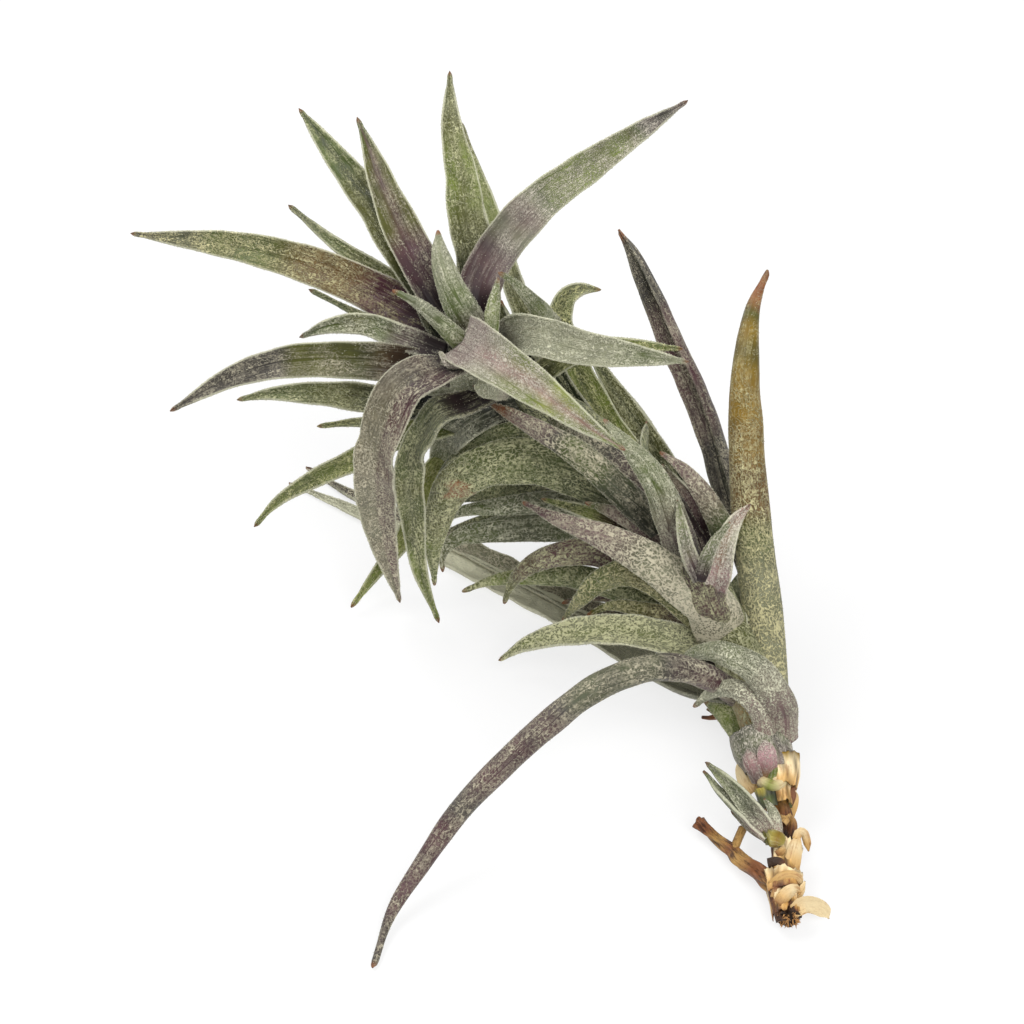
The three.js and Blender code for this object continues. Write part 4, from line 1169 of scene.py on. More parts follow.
CROWN_LEAVES = (
    Blade("crown_leaf_left", 7.9, 80, FRONT,
          "wine maroon maroon sienna moss fern slate dusk", (0.25, 0.5, 0.7),
          taper=3.2,
          route=((-5, -11, 53), (-10.5, -8.5, 54), (-16, -6, 56), (-32, 4, 58), (-49.5, 14.5, 56),
                 (-74, 26.5, 50))),
    Blade("crown_leaf_up_left", 7.1, 90, FRONT,
          "wine forest moss moss fern fern", (0.2, 0.27, 0.38),
          taper=3.8, channel="forest",
          route=((-5, -13, 55), (-11.5, -8.5, 56), (-15.5, -3, 61), (-20.5, 3.5, 65),
                 (-26.5, 13, 69), (-34, 24, 72), (-40.5, 34.5, 74))),
    Blade("crown_leaf_upper", 7.7, 80, FRONT,
          "wine wine plum moss moss moss fern", (0.12, 0.2, 0.25),
          channel="plum",
          route=((-9, -11.5, 58), (-15, -5, 65), (-19.5, 2.5, 69), (-23.5, 11, 73),
                 (-26.5, 20.5, 75), (-29, 26.5, 78))),
    Blade("crown_leaf_behind_left", 4.3, 110, FRONT,
          "forest forest moss fern slate", (0.35, 0.5, 0.5),
          route=((-1.5, -7.5, 46), (-13.5, 1, 50), (-21.5, 6.5, 54), (-33, 15.5, 56),
                 (-43, 26.5, 57))),
    Blade("crown_leaf_behind_left", 2.3, 90, FRONT,
          "forest fern fern", (0.6, 0.6, 0.6),
          route=((-1.5, -7.5, 46), (-13.5, 1, 50), (-18, 0, 48), (-25, 2.5, 48), (-39, 14.5, 46))),
    Blade("crown_leaf_low_hook", 4.6, 100, FRONT,
          "wine mauve fern moss fern slate", (0.4, 0.6, 0.5),
          taper=3.2,
          route=((-12, -19.5, 60), (-20.5, -16, 61), (-27, -10.5, 59), (-33.5, -7.5, 56),
                 (-39.5, -5, 51))),
    Blade("crown_leaf_long_hook", 7, 90, FRONT,
          "wine sienna moss moss dusk dusk dusk", (0.2, 0.32, 0.4),
          taper=3.2,
          route=((-11, -20, 56), (-21, -20, 58), (-29.5, -17, 56), (-40.5, -14, 53),
                 (-51.5, -12.5, 48), (-63.5, -15.5, 42))),
    Blade("crown_leaf_under_hook", 5.8, 100, FRONT,
          "forest forest moss fern fern", (0.3, 0.5, 0.6),
          route=((-11.5, -15, 43), (-20.5, -15.5, 44), (-30, -12.5, 43), (-38, -9.5, 41),
                 (-45.5, -7.5, 39), (-52, -7, 37))),
    Blade("crown_leaf_hanging_left", 8.9, 85, UP,
          "wine wine maroon sienna mauve slate mauve dusk", (0.2, 0.95, 0.8),
          tip_face=FRONT, taper=3.4, deep=0.5, halves=("plum", "silver"),
          route=((-9, -19.5, 57), (-14, -28, 63), (-19, -31, 62), (-22.5, -34, 56),
                 (-24.5, -33, 45), (-25, -30.5, 33), (-24, -29, 20), (-21.5, -28.5, 4))),
    Blade("crown_leaf_hanging_middle", 6.3, 100, UP,
          "wine plum slate fern moss fern leaf leaf", (0.6, 0.6, 0.55),
          tip_face=FRONT, taper=3, channel="slate",
          route=((-2, -14.5, 47), (-8.5, -22.5, 50), (-13, -25.5, 51), (-15.5, -26, 47),
                 (-18, -26, 41), (-19, -27, 34), (-18.5, -27, 25), (-17.5, -28.5, 13),
                 (-14, -32, 2))),
    Blade("crown_leaf_hanging_right", 6, 90, FRONT,
          "slate slate slate fern leaf moss", (0.75, 0.7, 0.55),
          route=((0.5, -15, 44), (-4, -18.5, 45), (-8.5, -19, 42), (-12, -15.5, 34),
                 (-14, -10.5, 22), (-14.5, -7.5, 10))),
    Blade("crown_leaf_pale_base", 5.9, 80, BACK,
          "dusk slate silver slate", (0.7, 0.75, 0.6),
          taper=4, base=1, deep=0.2,
          route=((-2, -13.5, 46.5), (-7.5, -17, 50), (-12, -18.5, 51), (-17, -19, 50))),
    Blade("crown_leaf_pale_base", 4.9, 100, BACK,
          "dusk mauve silver silver", (0.7, 0.9, 0.9),
          taper=8, base=1, burnt=0.1, deep=0,
          route=((-1, -14, 47), (-2.5, -19.5, 52), (-5, -23.5, 55.5), (-7, -25, 57))),
    Blade("crown_leaf_low_left", 4.9, 110, FRONT,
          "forest leaf leaf fern leaf", (0.5, 0.6, 0.55),
          taper=3,
          route=((-3, -9, 36), (-12.5, -16, 39), (-21, -18, 38), (-29, -20, 34), (-37, -19, 28),
                 (-45, -17.5, 20), (-49.5, -18, 14))),
    Blade("crown_leaf_low_left", 3.4, 90, FRONT,
          "fern fern silver fern", (0.7, 0.7, 0.7),
          route=((-3, -9, 36), (-12.5, -13.5, 37), (-20, -12.5, 35), (-28.5, -10, 34),
                 (-37, -9, 32))),
    Blade("crown_leaf_low_front", 5, 110, FRONT,
          "forest leaf lime leaf leaf", (0.4, 0.6, 0.6),
          taper=3.4,
          route=((2.5, -4.5, 34), (-8, -10.5, 30), (-16.5, -14.5, 22), (-20.5, -18.5, 12),
                 (-25.5, -22.5, 7), (-31, -28, 2))),
    Blade("crown_leaf_upright", 8.1, 90, FRONT,
          "forest forest moss leaf moss slate", (0.4, 0.5, 0.45),
          taper=2.6, channel="moss",
          route=((-3.5, -8, 50), (-5.5, -3, 53), (-6.5, 6.5, 60), (-8.5, 14, 64),
                 (-9.5, 21.5, 68), (-11.5, 32, 72), (-12, 45, 75))),
    Blade("crown_leaf_upper_right", 8.1, 90, FRONT,
          "maroon maroon rose mauve silver fern leaf leaf moss fern dusk plum", (0.2, 0.72, 0.4),
          taper=2.6, deep=1.0,
          route=((-6.5, -12, 58), (-6, -6.5, 64), (-2.5, 0, 68), (5, 8.5, 72), (14, 16.5, 74),
                 (23.5, 25.5, 75), (33.5, 37, 74))),
    Blade("crown_leaf_right", 7.8, 90, FRONT,
          "mauve silver silver silver fern silver", (0.9, 0.75, 0.75),
          taper=2.6, base=0.75, deep=0.35,
          route=((-2, -8.5, 52), (1.5, -13.5, 59), (6, -16.5, 61), (12, -19, 61), (21.5, -20, 60),
                 (32, -18.5, 57))),
    Blade("crown_leaf_right_behind", 4.6, 90, FRONT,
          "forest moss leaf leaf fern", (0.5, 0.7, 0.7),
          taper=2.6,
          route=((1.5, -13, 46), (6, -14, 51), (13.5, -11.5, 54), (22.5, -12, 55),
                 (31.5, -10.5, 53))),
    Blade("crown_leaf_front_right", 3.6, 90, BACK,
          "mauve mauve silver", (0.8, 0.85, 0.8),
          taper=2, base=0.6, burnt=0.1, deep=0,
          route=((-7.5, -20, 62.5), (-8.5, -24, 63), (-11, -25.5, 63), (-13, -22.5, 63))),
    Blade("crown_leaf_front_right", 5.2, 90, FRONT,
          "wine mauve", (0.5, 0.5, 0.5),
          taper=8, base=1, burnt=0.1,
          route=((-5, -11, 56), (-6.5, -16.5, 60.5), (-8, -22, 64.5))),
    Blade("crown_leaf_front_right", 9.4, 95, FRONT,
          "mauve mauve silver leaf lime leaf leaf", (0.8, 0.6, 0.4),
          taper=2, base=1, channel="rose", deep=0.1,
          route=((-9, -21, 64.5), (-6.5, -26.5, 67.5), (-4, -30.5, 69), (0, -35, 69.5),
                 (5.5, -39.5, 68.5), (12, -45, 67), (19.5, -49, 64))),
    Blade("crown_leaf_small_right", 4.6, 90, BACK,
          "forest moss leaf fern fern", (0.5, 0.65, 0.6),
          route=((1.5, -10, 46.5), (7, -4, 52), (6, -7.5, 58), (3.5, -10, 64.5), (0, -10, 69),
                 (-2.5, -10, 71))),
    Blade("crown_heart", 6, 120, BACK,
          "wine plum fern fern silver silver", (0.3, 0.5, 0.65),
          taper=3.4,
          route=((-6, -12.5, 57), (-6, -15.5, 61), (-9, -14.5, 66), (-11.5, -10, 69),
                 (-13, -5, 71), (-13.5, 0.5, 72))),
    Blade("crown_heart", 3.8, 110, BACK,
          "wine moss fern slate fern", (0.4, 0.5, 0.6),
          route=((-6, -12.5, 57), (-8.5, -20.5, 63), (-12.5, -19.5, 67), (-16.5, -15.5, 68),
                 (-21.5, -11.5, 68))),
    Blade("crown_heart", 3.6, 90, BACK,
          "plum fern leaf fern", (0.6, 0.6, 0.7),
          route=((-6, -12.5, 57), (-4.5, -16, 60), (-3.5, -13.5, 65), (-2.5, -8, 68))),
)

STEM_LEAVES = (
    Blade("stem_leaf_longest", 5, 110, FRONT,
          "forest forest forest moss leaf moss", (0.3, 0.35, 0.55),
          route=((32.5, -23.5, 20), (18, -13.5, 30), (8.5, -2.5, 38), (1.5, 13, 44),
                 (-3.5, 34.5, 47), (-10.5, 62, 50))),
    Blade("stem_leaf_hooked", 5.9, 100, FRONT,
          "forest forest leaf leaf leaf fern silver", (0.4, 0.55, 0.7),
          taper=8, channel="forest",
          route=((34, -23, 18), (24.5, -13.5, 25), (17.5, -6, 31), (12, 1.5, 38), (9, 5.5, 45),
                 (9.5, 8, 47), (10.5, 9.5, 48.5), (13, 11, 49), (17, 11.5, 48.5))),
    Blade("stem_leaf_straight", 6, 100, FRONT,
          "forest forest moss moss fern", (0.4, 0.5, 0.6),
          channel="forest",
          route=((36, -22, 16), (26.5, -4.5, 23), (18, 6.5, 31), (13.5, 11, 37))),
    Blade("stem_leaf_outer", 4.7, 100, FRONT,
          "forest fern fern slate", (0.5, 0.75, 0.7),
          route=((38, -20, 14), (29, -6, 20), (24.5, 1.5, 24), (18, 10.5, 28), (14, 15.5, 31))),
    Blade("stem_leaf_arched", 9.2, 75, BACK,
          "fern fern fern fern fern moss leaf fern", (0.8, 0.9, 0.8),
          taper=3, withered=(0.6, 0.35, 3.4),
          route=((26.5, -30.5, 27), (16.5, -26.5, 34), (5, -24, 37), (-4, -23.5, 36),
                 (-10.5, -23.5, 31), (-13.5, -23, 23), (-15, -22.5, 13), (-15, -23, 3))),
    Blade("stem_leaf_arched_behind", 5.3, 80, BACK,
          "forest forest fern slate fern", (0.5, 0.6, 0.6),
          route=((18.5, -13.5, 29), (6, -13, 34), (-3, -15.5, 35), (-9, -17, 32), (-13, -17, 26),
                 (-14.5, -15.5, 17))),
    # Painted shade: these two blades fill the gaps between the arched and the level leaves, and their
    # dark tones stand for the shade there.
    Blade("stem_leaf_shaded", 7.5, 60, BACK,
          "forest forest dusk fern dusk", (0.4, 0.5, 0.5),
          taper=5,
          route=((24.5, -17, 20), (17, -11.5, 20), (9.5, -9.5, 19), (0.5, -10.5, 18.5), (-6, -10, 16),
                 (-12, -8.5, 11.5))),
    Blade("stem_leaf_shaded", 4.4, 60, BACK,
          "forest forest dusk fern dusk", (0.4, 0.5, 0.5),
          taper=5,
          route=((24.5, -17, 20), (19, -13, 16), (12, -10, 12), (3.5, -12, 12), (-4.5, -13.5, 11),
                 (-13.5, -12.5, 7))),
    Blade("stem_leaf_level", 4.8, 90, BACK,
          "forest fern slate fern fern", (0.6, 0.7, 0.7),
          route=((26, -21.5, 19), (15, -19.5, 21), (6.5, -18.5, 21), (-2.5, -18.5, 20),
                 (-10, -17, 17), (-14, -15.5, 12))),
    Blade("stem_leaf_low_arch", 7.3, 90, BACK,
          "forest fern fern slate fern moss", (0.6, 0.75, 0.7),
          taper=3,
          route=((30, -28, 18.5), (24, -21.5, 15), (12, -17.5, 14), (3, -17, 13), (-4, -17, 12),
                 (-11, -16.5, 9), (-13.5, -17, 5), (-13.5, -18.5, 2))),
    # Painted light: this leaf is a pale silver of its own, and is painted paler still to stand for the
    # light that reaches it under the plant.
    Blade("ground_leaf_front", 5.8, 150, UP,
          "frost rim rim rim frost silver", (1.4, 1.9, 1.3),
          taper=3.4,
          route=((41, -56.9, 8), (33.2, -50.1, 3.6), (24.2, -42.1, 2), (14.9, -33.9, 1.5),
                 (5.4, -26.6, 1.2), (-16.1, -11.5, 0.9), (-31.3, -0.8, 0.8), (-45, 7.9, 0.4))),
    Blade("ground_leaf_back", 5.3, 150, UP,
          "plum mauve silver silver dusk dusk", (0.7, 1.0, 0.8),
          taper=3.4,
          route=((37.7, -49.1, 9), (24.3, -37.1, 3.8), (13.1, -28.3, 2.2), (4.5, -21.8, 1.8),
                 (-16.2, -6.8, 1.2), (-32.5, 4.2, 0.9), (-41.8, 12.5, 0.4))),
    Blade("under_leaf_right", 5.5, 80, UP,
          "forest fern fern slate", (0.6, 0.7, 0.7),
          route=((32, -30, 19), (36, -18, 13), (38, -8, 4), (38.5, -1, 0.3))),
    Blade("under_leaf_back", 6, 80, UP,
          "forest fern fern slate", (0.6, 0.7, 0.7),
          route=((14, -10, 29), (16, 1, 22), (18, 11, 8), (18, 19, 0.3))),
    Blade("under_leaf_low", 5, 80, UP,
          "forest fern fern slate", (0.6, 0.7, 0.7),
          route=((41, -50, 14), (47, -44, 9), (50, -39, 3), (50.5, -34, 0.3))),
)


# The main stem from the cut end to the crown: x, y, z and radius.
STEM_ROUTE = (
    (48, -103, 3, 2.1), (47.8, -97.4, 3, 2.1), (47.8, -92.4, 3.2, 2.1), (48.2, -86.4, 3.6, 1.9),
    (48.2, -81.2, 4.6, 1.8), (47.2, -76.6, 6, 2), (46.4, -72, 7.6, 2.6), (45.4, -67, 10, 3.4),
    (44, -61.5, 13, 4.2), (39, -45, 17, 4.6), (30.5, -29.5, 22, 4.6), (18.5, -12.5, 28, 4.4),
    (6, -10.5, 40, 4), (-3.5, -14, 56, 3),
)
SHOOT_ROUTE = ((38.6, -46.4, 17, 4), (35, -48.8, 28, 3.6), (32.2, -48.4, 35, 2.4))
TWIG_ROUTE = (
    (33.4, -80.8, 2.2, 1.1), (35, -82.8, 2.2, 1), (36.8, -85, 2.4, 0.9), (39.2, -87.8, 2.6, 1.1),
    (40.6, -90.2, 2.8, 1.3), (43, -92.4, 3, 1.4), (45.8, -96.6, 3.4, 1.2),
)
PRONG_ROUTE = ((41.2, -83.2, 3.4, 0.8), (39.4, -87.6, 2.8, 0.8))
CUT_SHARE = 0.225  # part of the stem's length that is bare and woody
HOOK_ROUTE = (
    (43.5, -63, 9.6, 0.9), (42.2, -61.6, 6.8, 0.8), (41, -60.5, 4.6, 0.7), (39.8, -58.9, 3.6, 0.6),
    (38.4, -56.4, 2.6, 0.5), (36.6, -55.8, 1.8, 0.4), (35.3, -55.4, 1.4, 0.3),
)
HOOK_BARB_ROUTE = ((38, -56, 2.4, 0.4), (37, -54.6, 2.2, 0.3), (36.3, -53.9, 2, 0.2))
CUT_ROUTE = ((48, -102.6, 3, 1.5), (48, -103.1, 3, 1.7))  # the torn face of the stub
ROD_STEP = 0.4  # distance between two rows of points on a rod, in millimetres
HALF_TURN = np.linspace(0, math.pi, 21)  # angles at which one half of a rod is drawn
KNOB_LENGTH = 5  # typical distance between two knobs of a rod, in millimetres
ROD_SHAG = 0.07  # how thickly scales stand on a rod that has any


@dataclass(frozen=True)
class Rod:
    """A round stem or twig along a route with a radius at each point.

    Attributes:
        route: Points with their radius, in millimetres.
        tones: Pigments from one end to the other.
        scurf: How thickly scales cover it.
        knobbly: How far its radius strays, as a part of it.
        ridges: Number of ridges round it.
        ridge: Height of a ridge as a part of the radius.
        twist: Turns that the ridges make along it.
        start: Where it starts, as a part of the route.
        end: Where it ends, as a part of the route.
    """

    route: tuple[tuple[float, float, float, float], ...]
    tones: str
    scurf: float = 0.0
    knobbly: float = 0.05
    ridges: int = 5
    ridge: float = 0.05
    twist: float = 0.0
    start: float = 0.0
    end: float = 1.0

    def skin(self, index: int) -> Skin:
        """Lays the skin of this rod as two halves that meet along both sides.

        Args:
            index: Number of the rod, which seeds its knobs.

        Returns:
            The skin, not yet a mesh.
        """
        rng = np.random.default_rng(SEED * 500 + index)
        route = Route(self.route)
        rows = max(8, round(route.length * (self.end - self.start) / ROD_STEP)) + 1
        s = np.linspace(self.start, self.end, rows)
        along = (s - self.start) * route.length
        spot = route.at(s)
        tangent = route.tangents(s)
        normal = unit(np.cross(tangent, (1.0, 0.02, 0.1)))
        across = np.cross(tangent, normal)
        faces, colours = [], []
        for sign in (1, -1):
            angle = sign * HALF_TURN[None, :]
            swell = self.knobbly * wander(rng, along[:, None] + 0 * angle, KNOB_LENGTH) * 0.5
            turned = 2 * math.pi * self.twist * s[:, None]
            swell = swell + self.ridge * np.cos(self.ridges * angle + turned)
            swell = swell + self.knobbly * np.cos(3 * angle + along[:, None] * 0.9)
            radius = spot[:, 3:4] * (1 + swell)
            faces.append(spot[:, None, :3] + normal[:, None] * (np.cos(angle) * radius)[..., None]
                         + across[:, None] * (np.sin(angle) * radius)[..., None])
            colours.append(pigment(self.tones, np.linspace(0, 1, rows)[:, None] + 0 * angle))
        seam = (faces[0][:, [0, -1]] + faces[1][:, [0, -1]]) / 2
        for grid in faces:
            grid[:, [0, -1]] = seam
        spread = np.repeat(HALF_TURN[None, :] * spot[:, 3:4].mean(), rows, 0)
        flat = np.zeros((2, rows, len(HALF_TURN)))
        values = {"scurf": flat + self.scurf, "rim": flat, "shag": flat + ROD_SHAG * (self.scurf > 0)}
        return Skin(faces[0], faces[1], along, spread, np.stack(colours), values, 20 + index * 0.1)


SHEET_STEP = 0.3  # distance between two rows of points on a sheet, in millimetres
SHEET_TURN = 7  # angle between two columns of points, in degrees
TEARS = ((1, 70), (0.6, 22))  # depth of an edge's tears and the angle between them, in degrees
CRUMPLE = 0.11  # height of a crumple, in millimetres
CRUMPLE_DRIFT = 0.1  # how far a crumple shifts the tones, as a part of the sheet
PAINTED_CRUMPLE_SHADING = 0.4  # how much lighter a crest and darker a hollow is painted: painted highlight and painted shade


@dataclass(frozen=True)
class Wrap:
    """A papery leaf base wound round the stem, crumpled and torn along its edges.

    Attributes:
        route: Points with the stem's radius there, from the cut end upwards.
        start: Where the sheet starts round the stem, in degrees to the right of the camera's side.
        sweep: Angle that it spans.
        tones: Pigments from its lower edge to its upper one.
        torn: How far the lower and upper edges stray, in millimetres.
        flare: How far the long edges and the upper edge stand off, in millimetres.
        lift: How far it lies off the stem, in millimetres.
        scurf: How thickly scales cover it.
    """

    route: tuple[tuple[float, float, float, float], ...]
    start: float
    sweep: float
    tones: str
    torn: float = 0.7
    flare: float = 0.5
    lift: float = 0.2
    scurf: float = 0.0

    def skin(self, index: int) -> Skin:
        """Lays the skin of this sheet.

        Args:
            index: Number of the sheet, which seeds its crumples and tears.

        Returns:
            The skin, not yet a mesh.
        """
        rng = np.random.default_rng(SEED * 700 + index)
        route = Route(self.route)
        rows = max(8, round(route.length / SHEET_STEP)) + 1
        columns = max(9, round(self.sweep / SHEET_TURN)) + 1
        degrees = self.start + self.sweep * np.linspace(0, 1, columns)[None, :]
        run = np.linspace(0, 1, rows)[:, None]
        edges = []
        for _ in range(2):
            stray = sum(depth * wander(rng, degrees, angle) for depth, angle in TEARS)
            edges.append(self.torn / route.length * np.clip(0.5 + 0.5 * stray, 0, 1.5))
        s = (edges[0] + (1 - edges[0] - edges[1]) * run).ravel()
        spot, tangent = route.at(s), route.tangents(s)
        toward = np.array(FRONT, float)
        normal = unit(toward - (tangent @ toward)[:, None] * tangent)
        across = np.cross(tangent, normal)
        turn = np.radians(degrees + 0 * run).ravel()[:, None]
        out = normal * np.cos(turn) + across * np.sin(turn)
        place = np.linspace(-1, 1, columns)[None, :]
        crumple = wander(rng, degrees / 12 + 0.5 * run * route.length, 5)
        crumple = crumple + 0.6 * wander(rng, degrees / 8 - 0.4 * run * route.length, 2.6)
        stand = self.lift + self.flare * (0.6 * np.abs(place) ** 5 + 0.6 * smooth(0.6, 1.0, run))
        stand = (stand + CRUMPLE * crumple).ravel()[:, None]
        half = (PAPER / 2 * np.sqrt(1 - place**8) * (1 + 0 * run)).ravel()[:, None]
        grids = [(spot[:, :3] + out * (spot[:, 3:4] + stand + sign * half)).reshape(rows, columns, 3)
                 for sign in (1, -1)]
        drift = np.clip(run + CRUMPLE_DRIFT * crumple, 0, 1)
        # Painted highlight on the crests and painted shade in the hollows of the crumples.
        painted_crest_and_hollow = np.clip(1 + PAINTED_CRUMPLE_SHADING * crumple, 0.3, 1.35)[..., None]
        colour = np.repeat((pigment(self.tones, drift) * painted_crest_and_hollow)[None], 2, 0)
        spread = np.radians(degrees) * float(spot[:, 3].mean()) + 0 * run
        values = {"scurf": np.full((2, rows, columns), self.scurf)}
        along = run[:, 0] * route.length
        return Skin(grids[0], grids[1], along, spread, colour, values, 40 + index * 0.1)


def scrap(width: float, cup: float, tones: str, *route: Point, **changes) -> Blade:
    """A thin dead strip that curls as it dries.

    Args:
        width: Greatest width, in millimetres.
        cup: Angle that its section spans, in degrees.
        tones: Pigments from its rooted end to its free one.
        *route: Points from the rooted end to the free one.
        **changes: Other fields of the blade.

    Returns:
        The strip as a blade without scales.
    """
    given = {"face": BACK, "thick": PAPER, "base": 1, "burnt": 0.1, "taper": 6} | changes
    return Blade("", width, cup, given.pop("face"), tones, (0, 0, 0), route, **given)


# Strips of bark and sheath left on the bare part of the stub.
STUB_PEELS = (
    scrap(1.7, 130, "char bark straw", (49.3, -87, 5), (49.9, -84.4, 5.6), (49.4, -82, 6.2)),
    scrap(1.4, 130, "straw bark husk", (47, -87, 5.8), (47.4, -84.2, 6.6), (46.8, -81.6, 7)),
    scrap(1.2, 90, "husk straw husk", (48.2, -84.8, 6.8), (48.9, -83.8, 6.9), (49.3, -82.6, 6.6)),
    scrap(1, 60, "husk straw", (47.2, -83.4, 7), (48.2, -83.9, 7.2), (49.2, -83.7, 6.6)),
    scrap(1.8, 130, "char bark umber", (46.6, -104, 3.8), (46.1, -101.4, 4.2), (45.6, -98.6, 4.2),
          (45.3, -95.6, 4)),
)


@dataclass(frozen=True)
class Claspers:
    """Leaf bases that clasp the far side of the stem, from the sheath up to the crown.

    Attributes:
        count: Number of leaf bases.
        start: Where the first one sits, as a part of the stem's length.
        end: Where the last one sits.
        length: Length of each, in millimetres.
        turn: Degrees that they turn to either side of the far side.
        stand: Distances from the stem's middle at four places from root to tip, in millimetres.
    """

    count: int = 7
    start: float = 0.4
    end: float = 0.86
    length: float = 19
    turn: float = 62
    stand: tuple[float, float, float, float] = (2.6, 4.2, 5.4, 10.1)

    def blades(self) -> list[Blade]:
        """Lays one short blade for each leaf base.

        Returns:
            The blades, from the lowest leaf base upwards.
        """
        route = Route(STEM_ROUTE)
        blades = []
        for i in range(self.count):
            at = np.array([self.start + (self.end - self.start) * i / (self.count - 1)])
            tangent = route.tangents(at)[0]
            spot = route.at(at)[0, :3]
            turn = math.radians(self.turn * (i % 3 - 1))
            back = np.array(BACK, float)
            away = (back * math.cos(turn) + np.cross(tangent, back) * math.sin(turn)
                    + tangent * (tangent @ back) * (1 - math.cos(turn)))
            away = away - (away @ tangent) * tangent
            away /= np.linalg.norm(away)
            steps = enumerate(self.stand)
            points = [spot + tangent * (k * self.length / 3) + away * reach for k, reach in steps]
            blades.append(Blade("stem", 9, 130, tuple(-away), "wine fern fern fern moss",
                                (0.5, 0.7, 0.65), tuple(tuple(p) for p in points)))
        return blades


def built(layers: Iterable[Blade | Rod | Wrap], first: int, name: str) -> list[Piece]:
    """Meshes some layers of one piece.

    Args:
        layers: Its blades, rods and sheets.
        first: Number of the first layer, which seeds its irregularities.
        name: Name that the meshes start with until they are fused.

    Returns:
        One object for each layer.
    """
    return [layer.skin(first + i).build(f"{name}_{i}") for i, layer in enumerate(layers)]


@dataclass
class Stem:
    """The stem: leafy above, a bare woody stub below, with a dead twig and its prong.

    Attributes:
        claspers: Leaf bases on the far side of the leafy stem.
        fibre_length: Length of a torn fibre of the cut end, in millimetres.
        fibre_girth: Radius of such a fibre at its foot, in millimetres.
        fibres_per_mm2: Fibres on a square millimetre of the cut end.
        first_clasper: Number of the first leaf base, which seeds its irregularities.
        first_peel: Number of the first peeling strip, which seeds its own.
    """

    claspers: Claspers = Claspers()
    fibre_length: float = 1.1
    fibre_girth: float = 0.24
    fibres_per_mm2: float = 4.0
    first_clasper: int = 300
    first_peel: int = 320

    def build(self, materials: Materials) -> None:
        """Builds and dresses the leafy stem, the woody stub and the fibres of its cut end.

        Args:
            materials: Material of each slot.
        """
        leafy = built(
            (Rod(STEM_ROUTE, "husk moss fern fern fern forest forest", scurf=0.9, knobbly=0.02,
                 ridge=0.02, start=CUT_SHARE),
             Rod(SHOOT_ROUTE, "fern plum wine", scurf=0.6)), 1, "leafy")
        leafy += built(self.claspers.blades(), self.first_clasper, "clasper")
        woody = built(
            (Rod(STEM_ROUTE, "char bark straw bark char bark gold char straw", knobbly=0.08, ridges=7,
                 ridge=0.07, twist=1.5, end=CUT_SHARE + 0.02),
             Rod(TWIG_ROUTE, "umber bark straw umber straw bark umber straw", knobbly=0.16, ridges=4,
                 ridge=0.2, twist=1.8),
             Rod(PRONG_ROUTE, "straw straw", knobbly=0.03, ridge=0.02),
             Rod(HOOK_ROUTE, "husk umber bark", knobbly=0.1),
             Rod(HOOK_BARB_ROUTE, "umber husk")), 3, "woody")
        woody += built(STUB_PEELS, self.first_peel, "peel")
        for name, parts, slot in (("leafy_stem", leafy, LeafSlot.GREEN.value),
                                  ("woody_stub", woody, BARK.slot)):
            piece = fused(parts, name)
            piece.data.materials.append(materials[slot])
            hand_over(piece, BARK.slot, "stem")
        hand_over(self._cut_end(), BARK.slot)

    def _cut_end(self) -> Piece:
        """Sows the torn fibres on the cut end of the stub.

        Returns:
            One mesh with all the fibres.
        """
        end = Rod(CUT_ROUTE, "char char").skin(8)
        end.values["shag"] = end.values["shag"] + 1
        disc = end.build("cut_face")
        tuft = Trichomes(self.fibres_per_mm2, self.fibre_length, self.fibre_girth)
        finish = TrichomeFinish("torn_fibres", "#b98a55", 0.7)
        made = tuft.sow([disc], "cut_end_fibres", tuft.tree(), finish.material())
        bpy.data.objects.remove(disc)
        return made


@dataclass(frozen=True)
class Offshoot:
    """Pieces that stand for one CAD node: blades, sheets and rods of the foot of the plant.

    Attributes:
        node: CAD node that they stand for.
        name: Name of the finished piece.
        finish: Slot of the material.
        blades: Its blades and strips.
        wraps: Its sheets round the stem.
        rods: Its rounded parts.
        first: Number of the first part, which seeds the irregularities.
    """

    node: str
    name: str
    finish: str
    blades: tuple[Blade, ...]
    first: int
    wraps: tuple[Wrap, ...] = ()
    rods: tuple[Rod, ...] = ()

    def build(self, slots: Slots, materials: Materials) -> None:
        """Builds and dresses the piece.

        Args:
            slots: Slot of each CAD node, out of the record.
            materials: Material of each slot.
        """
        layers = [*self.blades, *self.wraps, *self.rods]
        piece = fused(built(layers, self.first, self.name), self.name)
        piece.data.materials.append(materials[self.finish])
        hand_over(piece, slots[self.node], self.node)


